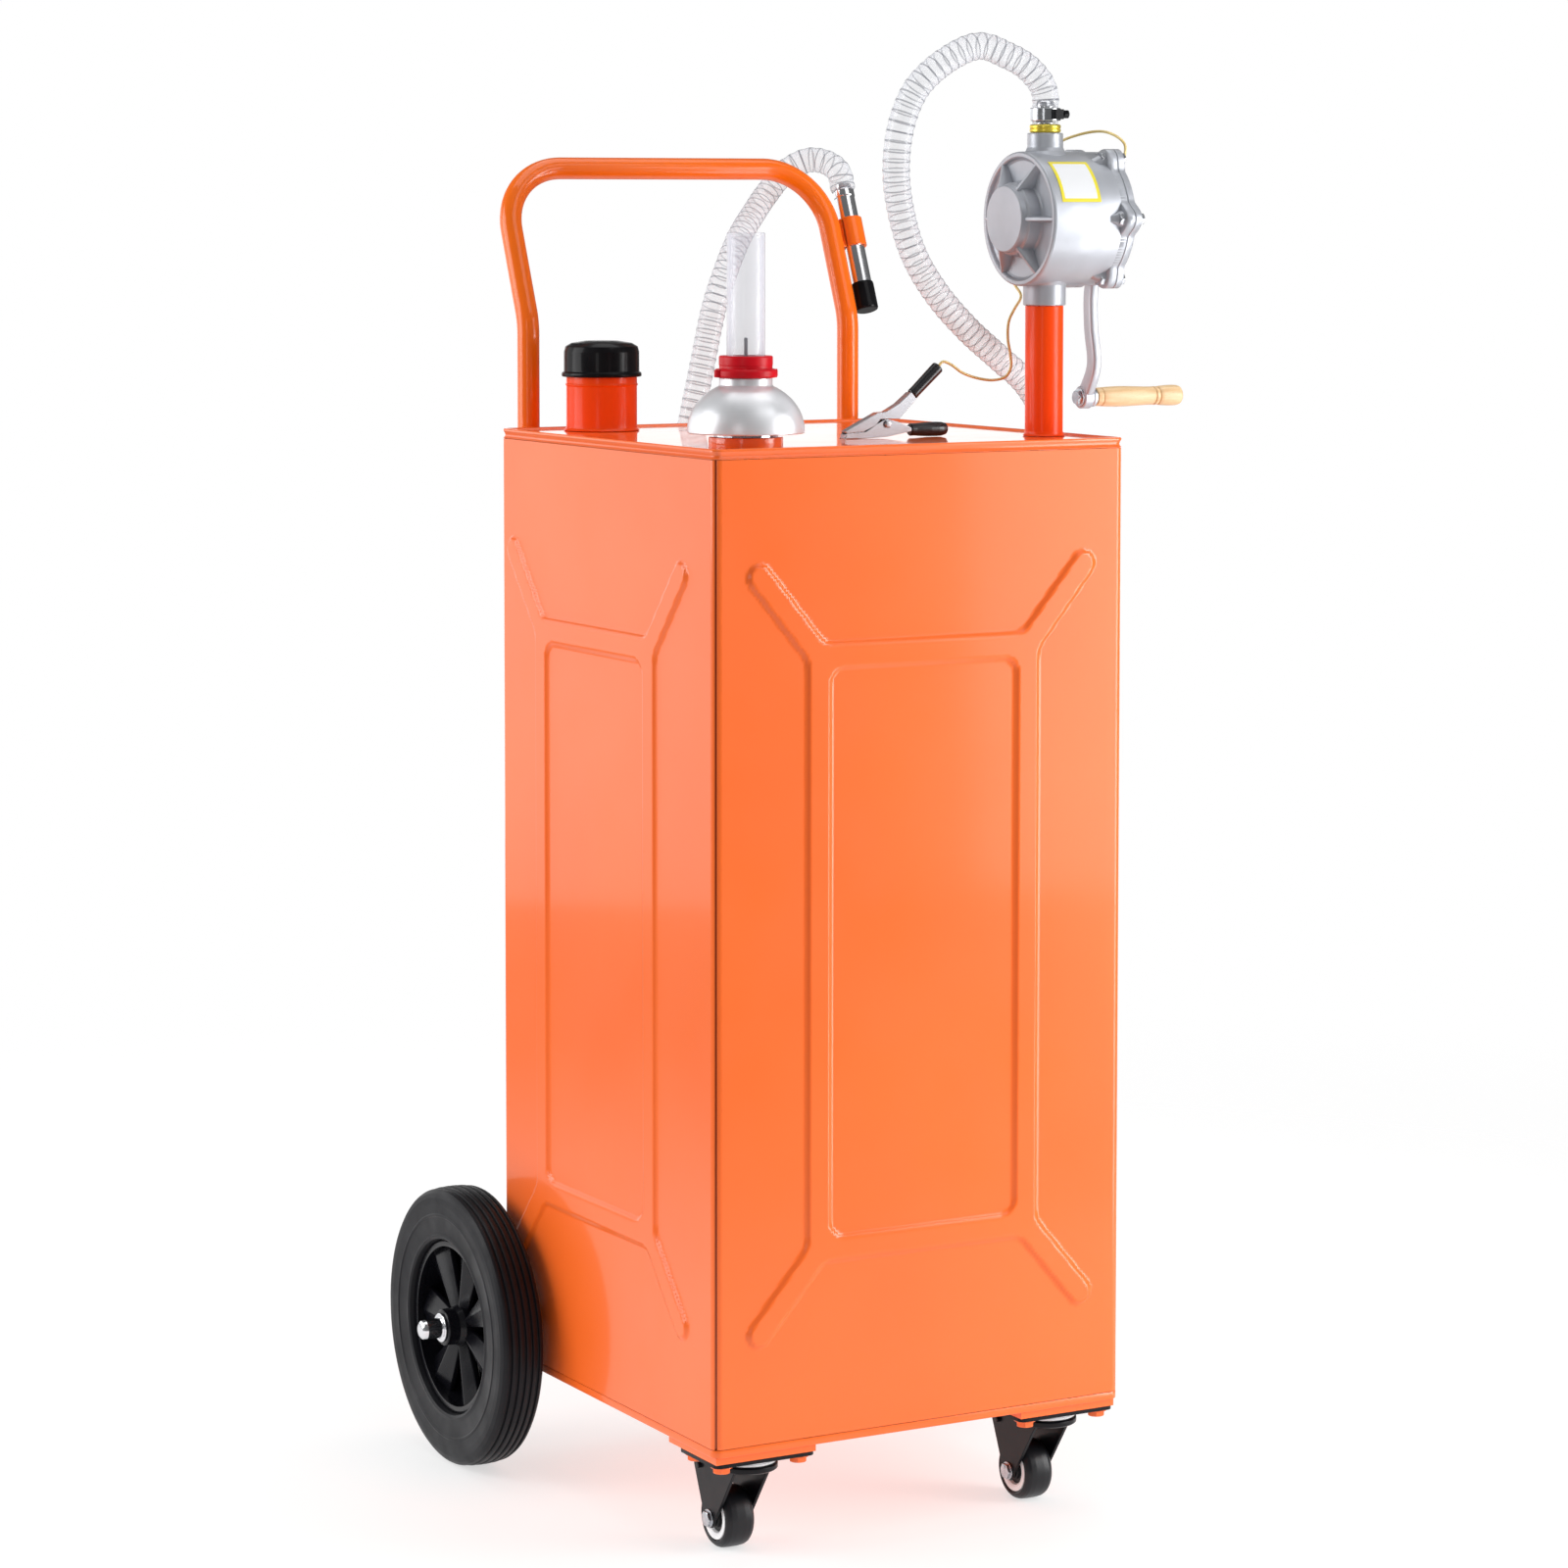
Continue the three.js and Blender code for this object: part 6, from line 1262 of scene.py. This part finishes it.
for side, side_name in SIDES:
    cx, cy = side * CASTER_X, CASTER_Y
    spots = [(cx + a * 0.0365, cy + b * 0.0225) for a in (-1, 1) for b in (-1, 1)]
    pad = block((cx - 0.0475, cy - 0.0335, -0.0063), (cx + 0.0475, cy + 0.0505, -0.0003))
    heads = [hex_head("z", 0.0080, -0.0101, -0.0159, spot, 0.0094) for spot in spots]
    shanks = [peg("z", 0.004, -0.0100, -0.0040, spot, 20, 0) for spot in spots]
    show(side_name + "_caster_pad_plate", together(pad, *heads, *shanks), orange_paint, "tank",
         side_name + "_caster_pad", bevel=0.0006)
    corner = np.radians(np.linspace(0, 90, 7))
    plate_outline = []
    for quarter, (ux, uy) in enumerate(((1, 1), (-1, 1), (-1, -1), (1, -1))):
        for t in corner:
            a = t + quarter * math.pi / 2
            plate_outline.append((cx + ux * 0.0415 + PLATE_ROUND * math.cos(a),
                                  cy + uy * 0.0275 + PLATE_ROUND * math.sin(a)))
    plate = prism("z", plate_outline, -0.0096, -0.0066)
    kingpin = turned("z", kingpin_rows, (cx, cy), 40, 0.0004)
    dish = turned("z", dish_rows, (cx, cy), 64, 0.0003)
    show(side_name + "_caster_top_plate", together(plate, kingpin, dish), black_enamel, "tank",
         side_name + "_caster_plate", bevel=0.0004)
    race = ring_turned("z", race_rows, (cx, cy), 80, 0.0003)
    show(side_name + "_race_ring", race, race_white, "tank", side_name + "_caster_race")
    ay, az = cy + ROLLER_BACK, ROLLER_LOW
    py, pz = cy + PEDAL_BACK, PEDAL_LOW
    crown = turned("z", crown_rows, (cx, cy), 80, 0.0006)
    foot_turn = np.radians(np.linspace(190, 350, 13))
    leg_outline = [(cy - 0.0110, -0.0209)]
    leg_outline += [(ay + FOOT_ROUND * math.cos(t), az + FOOT_ROUND * math.sin(t)) for t in foot_turn]
    leg_outline += [(cy + 0.0610, -0.0310), (cy + 0.0600, -0.0240), (cy + 0.0500, -0.0162), (cy, -0.0160),
                    (cy - 0.0110, -0.0162)]
    legs = [prism("x", leg_outline, cx + e * 0.0150, cx + e * 0.0180) for e in (-1, 1)]
    pins = [peg("x", 0.004, cx - 0.018, cx + 0.018, (ay, az), 24, 0),
            peg("x", 0.0025, cx - 0.0208, cx + 0.0208, (py, pz), 24, 0.0002)]
    show(side_name + "_caster_fork_pressing", together(crown, *legs, *pins), black_enamel,
         side_name + "_swivel", side_name + "_caster_fork", bevel=0.0005)
    ends = [hex_head("x", 0.0070, cx + e * 0.0180, cx + e * 0.0219, (ay, az), 0.0078) for e in (-1, 1)]
    show(side_name + "_caster_bolt", together(*ends), zinc, side_name + "_swivel")
    wheel = ring_turned("x", above(cx, wheel_rows), (ay, az), 72, 0.0008)
    show(side_name + "_roller_tread", wheel, caster_rubber, side_name + "_roller",
         side_name + "_caster_wheel")
    ring = ring_turned("x", above(cx, ring_rows), (ay, az), 64, 0.0003)
    show(side_name + "_roller_ring", ring, race_white, side_name + "_roller")
    # The core inside the white ring is black: painted shade of the wheel's deep recess.
    core = ring_turned("x", above(cx, core_rows), (ay, az), 64, 0.0003)
    show(side_name + "_roller_core", core, caster_rubber, side_name + "_roller")
    hinge = turned("x", above(cx, mirrored([(0.0028, -0.0147), (0.0055, -0.0147)])), (py, pz), 36, 0.0003)
    share = np.linspace(0, 1, 14)
    pedal_y = py + PEDAL_LONG * share
    pedal_z = pz + PEDAL_RISE * share + 0.0016 * np.sin(np.pi * share)
    pedal_outline = [(y, z + 0.0015) for y, z in zip(pedal_y, pedal_z)]
    pedal_outline += [(y, z - 0.0015) for y, z in zip(pedal_y[::-1], pedal_z[::-1])]
    arm = prism("x", pedal_outline, cx - 0.010, cx + 0.010)
    lip = turned("x", above(cx, lip_rows), (py + PEDAL_LONG, pz + PEDAL_RISE), 28, 0.0005)
    grips = [block((cx - 0.0085, py + 0.018 + 0.006 * k, pz + 0.0062 + 0.0014 * k),
                   (cx + 0.0085, py + 0.020 + 0.006 * k, pz + 0.0082 + 0.0014 * k)) for k in range(4)]
    shoe = block((cx - 0.008, py - 0.0015, pz - 0.014), (cx + 0.008, py + 0.0015, pz - 0.001))
    show(side_name + "_foot_brake", together(hinge, arm, lip, *grips, shoe), black_plastic,
         side_name + "_brake", side_name + "_brake_pedal", bevel=0.0005)

# Ground clamp: two pressed and nickel-plated jaws on a pin with a spring, with black dipped sleeves on
# their handles. The upper jaw and its sleeve open.
CLAMP_PIVOT = np.array([0.032, -0.080, DECK + 0.012])
UPPER_LEAN = math.radians(42)


def sided(outline, low, high):
    """An outline in the clamp's upright plane, along X and Z from its pin, pushed across it."""
    spots = [(CLAMP_PIVOT[2] + z, CLAMP_PIVOT[0] + x) for x, z in outline]
    return prism("y", spots, CLAMP_PIVOT[1] + low, CLAMP_PIVOT[1] + high)


def teeth(start, end, count, depth):
    """A saw edge between two points: a run of teeth of a depth, each a rise and a fall."""
    t = np.linspace(0, 1, 2 * count + 1)
    way = np.subtract(end, start)
    normal = np.array([-way[1], way[0]]) / np.linalg.norm(way)
    saw = np.where(np.arange(2 * count + 1) % 2, depth, 0.0)
    return [tuple(np.add(start, way * a) + normal * b) for a, b in zip(t, saw)]


nickel = spun_finish("dull_nickel", (0.50, 0.51, 0.54), 0.22, metal=0.8)
nose, floor_z = -0.042, -0.0117
lower_outline = [(nose, floor_z), (nose / 2, floor_z), (0.0, floor_z + 0.0008), (0.0245, -0.0068),
                 (0.0245, -0.0036), (0.010, 0.0020), (0.0, 0.0045), (-0.010, 0.0005), (nose / 2, -0.0062)]
lower_outline += teeth((-0.0225, -0.0066), (nose + 0.0016, -0.0074), 5, -0.0007)[1:]
lower_floor = [(nose, floor_z), (0.0, floor_z + 0.0008), (0.0245, -0.0068), (0.0245, -0.0055),
               (0.0, floor_z + 0.0021), (nose, floor_z + 0.0013)]
lower_lip = [(nose, floor_z), (nose + 0.0014, floor_z), (nose + 0.0014, -0.0078), (nose + 0.0004, -0.0078)]
lower_jaw = together(sided(lower_outline, -0.0045, -0.0033), sided(lower_outline, 0.0033, 0.0045),
                     sided(lower_floor, -0.0044, 0.0044), sided(lower_lip, -0.0044, 0.0044))
pin_rows = mirrored([(0, -0.0068), (0.0026, -0.0068), (0.0032, -0.0062), (0.0032, -0.0056), (0.002, -0.0055)])
pin = turned("y", above(CLAMP_PIVOT[1], pin_rows), (CLAMP_PIVOT[2], CLAMP_PIVOT[0]), 32, 0.0002)
show("clamp_lower_pressing", together(lower_jaw, pin), nickel, "tank", "clamp_lower_jaw",
     bevel=0.0004)
sleeve_rows = above(CLAMP_PIVOT[0], [
    (0, 0.0244), (0.0048, 0.0246), (0.0054, 0.0256), (0.0053, 0.0300), (0.0058, 0.0360), (0.0062, 0.0440),
    (0.0062, 0.0520), (0.0060, 0.0565), (0.0050, 0.0606), (0.0034, 0.0619), (0, 0.0620)])
vinyl = gloss_finish("black_vinyl_sleeve", (0.010, 0.010, 0.012), 0.3, 0.3)
sleeve = turned("x", sleeve_rows, (CLAMP_PIVOT[1], CLAMP_PIVOT[2] - 0.0055), 48, 0.0006)
show("clamp_lower_sleeve", sleeve, vinyl, "tank", "clamp_lower_grip")


def upper_at(length, off):
    """A point along the upper handle, off to its own upper side."""
    return (length * math.cos(UPPER_LEAN) - off * math.sin(UPPER_LEAN),
            length * math.sin(UPPER_LEAN) + off * math.cos(UPPER_LEAN))


upper_outline = teeth((nose + 0.0016, -0.0068), (-0.0225, -0.0056), 5, -0.0007)
spine = [upper_at(0.036, 0.0040), upper_at(0.020, 0.0050), upper_at(0.006, 0.0085), (-0.009, 0.0100),
         (nose / 2, 0.0042), (nose + 0.006, -0.0030), (nose + 0.0014, -0.0052)]
upper_outline += [(-0.012, -0.0010), (-0.0063, 0.0045), upper_at(0.012, -0.0052), upper_at(0.036, -0.0040)]
upper_outline += spine
upper_cheeks = [sided(upper_outline, -0.0045, -0.0035), sided(upper_outline, 0.0035, 0.0045)]
thin = [(x + 0.0003, z - 0.0012) for x, z in spine[::-1]]
upper_spine = sided(spine + thin, -0.0044, 0.0044)
COIL_RADIUS, COIL_WIRE, COIL_LONG, COIL_TURNS = 0.0033, 0.0006, 0.0056, 3
coil_turn = np.linspace(0, 2 * np.pi * COIL_TURNS, 49)
coil_spots = np.stack([COIL_RADIUS * np.cos(coil_turn), np.linspace(-0.5, 0.5, 49) * COIL_LONG,
                       COIL_RADIUS * np.sin(coil_turn)], 1)
coil_stops, coil_ways, _ = smooth_route(CLAMP_PIVOT + coil_spots, 160)
coil = skin(carried(coil_stops, coil_ways, np.full(160, COIL_WIRE), 8))
show("clamp_upper_pressing", together(*upper_cheeks, upper_spine), nickel, "clamp_upper", "clamp_upper_jaw",
     bevel=0.0004)
show("clamp_spring", coil, zinc, "tank", sharp=60)
upper_rows = [(0, 0.0364), (0.0044, 0.0365), (0.0051, 0.0372), (0.0050, 0.0420), (0.0052, 0.0560),
              (0.0054, 0.0690), (0.0054, 0.0712), (0.0048, 0.0721), (0.0016, 0.0722), (0, 0.0722)]
flat_spots, up_faces = turned("x", upper_rows, (0, 0), 48, 0.0006)
lean_x, lean_z = upper_at(flat_spots[:, 0], flat_spots[:, 2])
up_points = CLAMP_PIVOT + np.stack([lean_x, flat_spots[:, 1], lean_z], 1)
upper_sleeve = show("clamp_upper_sleeve", (up_points, up_faces), vinyl, "clamp_upper", "clamp_upper_grip")

# Ground wire: a thin stranded wire in a tan jacket, from a lug of the pump cover behind the drum and down
# to the clamp's upper sleeve. Its last part follows the sleeve.
WIRE_RADIUS, WIRE_STOPS = 0.00125, 260


def on_sleeve(length):
    """A point on the upper sleeve's middle line, a length from the clamp's pin."""
    x, z = upper_at(length, 0)
    return (CLAMP_PIVOT[0] + x, CLAMP_PIVOT[1], CLAMP_PIVOT[2] + z)


wire_start, wire_end = (0.23235, -0.148, 1.07496), on_sleeve(0.0726)
WIRE_ROUTE = [
    wire_start,
    (0.232, -0.148, 1.088),
    (0.218, -0.140, 1.098),
    (0.200, -0.114, 1.094),
    (0.186, -0.090, 1.081),
    (0.172, -0.062, 1.058),
    (0.163, -0.051, 1.018),
    (0.164, -0.058, 0.986),
    (0.167, -0.074, 0.966),
    (0.165, -0.088, 0.955),
    (0.160, -0.086, 0.945),
    (0.154, -0.086, 0.934),
    (0.153, -0.086, 0.919),
    (0.155, -0.087, 0.905),
    (0.155, -0.088, 0.894),
    (0.150, -0.088, 0.886),
    (0.138, -0.087, 0.883),
    (0.122, -0.085, 0.885),
    (0.108, -0.083, 0.890),
    (0.098, -0.081, 0.897),
    on_sleeve(0.0786),
    wire_end,
]


def jacket_finish():
    """Wire jacket: soft tan plastic, uneven in tone and slightly grained by the strands under it."""
    made, tree, shader, where = new_finish("tan_wire_jacket")
    coloured(tree, shader, where, (0.74, 0.54, 0.18), (0.88, 0.70, 0.32), 70.0)
    roughened(tree, shader, where, 0.34, 0.46, 50.0)
    grained(tree, shader, where, 1400.0, 1.0, 0.00005, 0.6)
    return made


wire_spots, wire_ways, wire_length = smooth_route(WIRE_ROUTE, WIRE_STOPS)
wire_rings = carried(wire_spots, wire_ways, np.full(WIRE_STOPS, WIRE_RADIUS - 0.00005), 12)
wire = show("ground_wire_jacket", skin(wire_rings), jacket_finish(), None, "ground_wire",
            sharp=60)
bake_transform(wire)

# Inner pieces: they are only seen with a cap off or from below, so the solids are kept and only get
# their own finishes.
steel_inside = spun_finish("turned_steel", (0.50, 0.51, 0.53), 0.32)
nylon_inside = moulded_finish("vane_nylon", (0.72, 0.70, 0.64), 0.45)
foam_inside = moulded_finish("float_foam", (0.045, 0.045, 0.048), 0.85, 0.0003, 900.0)
inner_finishes = {
    "gauge_stem": zinc, "suction_pipe": zinc, "rotor": steel_inside, "vane_lower": nylon_inside,
    "vane_upper": nylon_inside, "float_arm": foam_inside,
}
for node_name, node_finish in inner_finishes.items():
    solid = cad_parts[node_name]
    solid.data.materials.clear()
    solid.data.materials.append(node_finish)

# Studio: a white floor that fades into a white surround, with soft lamps on both sides, behind and above.
# The left key and near_right rake along the walls, so each rib has a light edge and a dark one.
floor_mesh = bpy.data.meshes.new("floor")
floor_mesh.from_pydata([(-6, -6, 0), (6, -6, 0), (6, 6, 0), (-6, 6, 0)], [], [(0, 1, 2, 3)])
floor = bpy.data.objects.new("floor", floor_mesh)
bpy.context.scene.collection.objects.link(floor)


def floor_finish():
    """White paper: it takes the shadow near the tank and thins out to nothing further away."""
    made, tree, shader, where = new_finish("white_paper")
    parts = wired(tree, "ShaderNodeSeparateXYZ", Vector=where)
    flat = wired(tree, "ShaderNodeCombineXYZ", X=parts.outputs["X"], Y=parts.outputs["Y"])
    far = tree.nodes.new("ShaderNodeVectorMath")
    far.operation = "LENGTH"
    tree.links.new(flat.outputs["Vector"], far.inputs[0])
    fade = wired(tree, "ShaderNodeMapRange", Value=far.outputs["Value"], _1=0.75, _2=2.4, _3=1.0, _4=0.0)
    fade.interpolation_type = "SMOOTHSTEP"
    tree.links.new(fade.outputs["Result"], shader.inputs["Alpha"])
    set_shader(shader, Base_Color=(0.45, 0.45, 0.45, 1), Roughness=0.8, Specular_IOR_Level=0.1,
               Emission_Color=(1, 1, 1, 1), Emission_Strength=0.62)
    return made


floor_mesh.materials.append(floor_finish())


def lamp(name, place, aim, size, power):
    """A white area lamp at a place, turned towards a point."""
    data = bpy.data.lights.new(name, "AREA")
    data.shape = "RECTANGLE"
    data.size, data.size_y = size
    data.energy = power
    made = bpy.data.objects.new(name, data)
    made.location = place
    way = np.subtract(aim, place)
    yaw, pitch = math.atan2(way[1], way[0]), math.atan2(way[2], math.hypot(way[0], way[1]))
    made.rotation_euler = (pitch + math.pi / 2, 0, yaw - math.pi / 2)
    bpy.context.scene.collection.objects.link(made)
    return made


near_right = lamp("near_right", (1.0, -1.0, 0.75), (-0.03, -0.33, 0.65), (0.5, 1.6), 15)
near_right.visible_camera = False
stage_pieces = [
    floor,
    lamp("key_left", (-3.0, 1.1, 1.7), (0, 0, 0.6), (2.0, 2.4), 60),
    lamp("side_right", (2.15, -2.35, 1.15), (0.1, 0, 0.6), (1.5, 2.2), 26),
    near_right,
    lamp("rear_left", (-2.2, 2.5, 1.1), (-0.1, 0, 0.9), (3.0, 2.2), 22),
    lamp("rear_wall", (0.9, 4.6, 1.0), (0, 0, 0.9), (5.0, 2.2), 42),
    lamp("front_strip", (-3.1, -3.4, 1.5), (0, 0, 0.8), (0.7, 2.0), 8),
    lamp("upper_strip", (0.6, -1.9, 2.9), (0, 0, 0.9), (1.6, 1.0), 8),
    lamp("top_soft", (0.3, 0.2, 3.4), (0, 0, 0.9), (2.2, 2.2), 26),
]
world = bpy.data.worlds.new("white_surround")
bpy.context.scene.world = world
world.use_nodes = True
sky = world.node_tree
sky.nodes.clear()
shades = {}
for key, strength in {"all": 0.36, "glossy": 0.15, "camera": 1.0}.items():
    white = wired(sky, "ShaderNodeBackground", Color=(1, 1, 1, 1), Strength=strength)
    shades[key] = white.outputs["Background"]
seen = sky.nodes.new("ShaderNodeLightPath")
first = wired(sky, "ShaderNodeMixShader", _0=seen.outputs["Is Glossy Ray"], _1=shades["all"],
              _2=shades["glossy"])
second = wired(sky, "ShaderNodeMixShader", _0=seen.outputs["Is Camera Ray"], _1=first.outputs["Shader"],
               _2=shades["camera"])
sky.links.new(second.outputs["Shader"], sky.nodes.new("ShaderNodeOutputWorld").inputs["Surface"])
bpy.context.scene.view_settings.view_transform = "Standard"
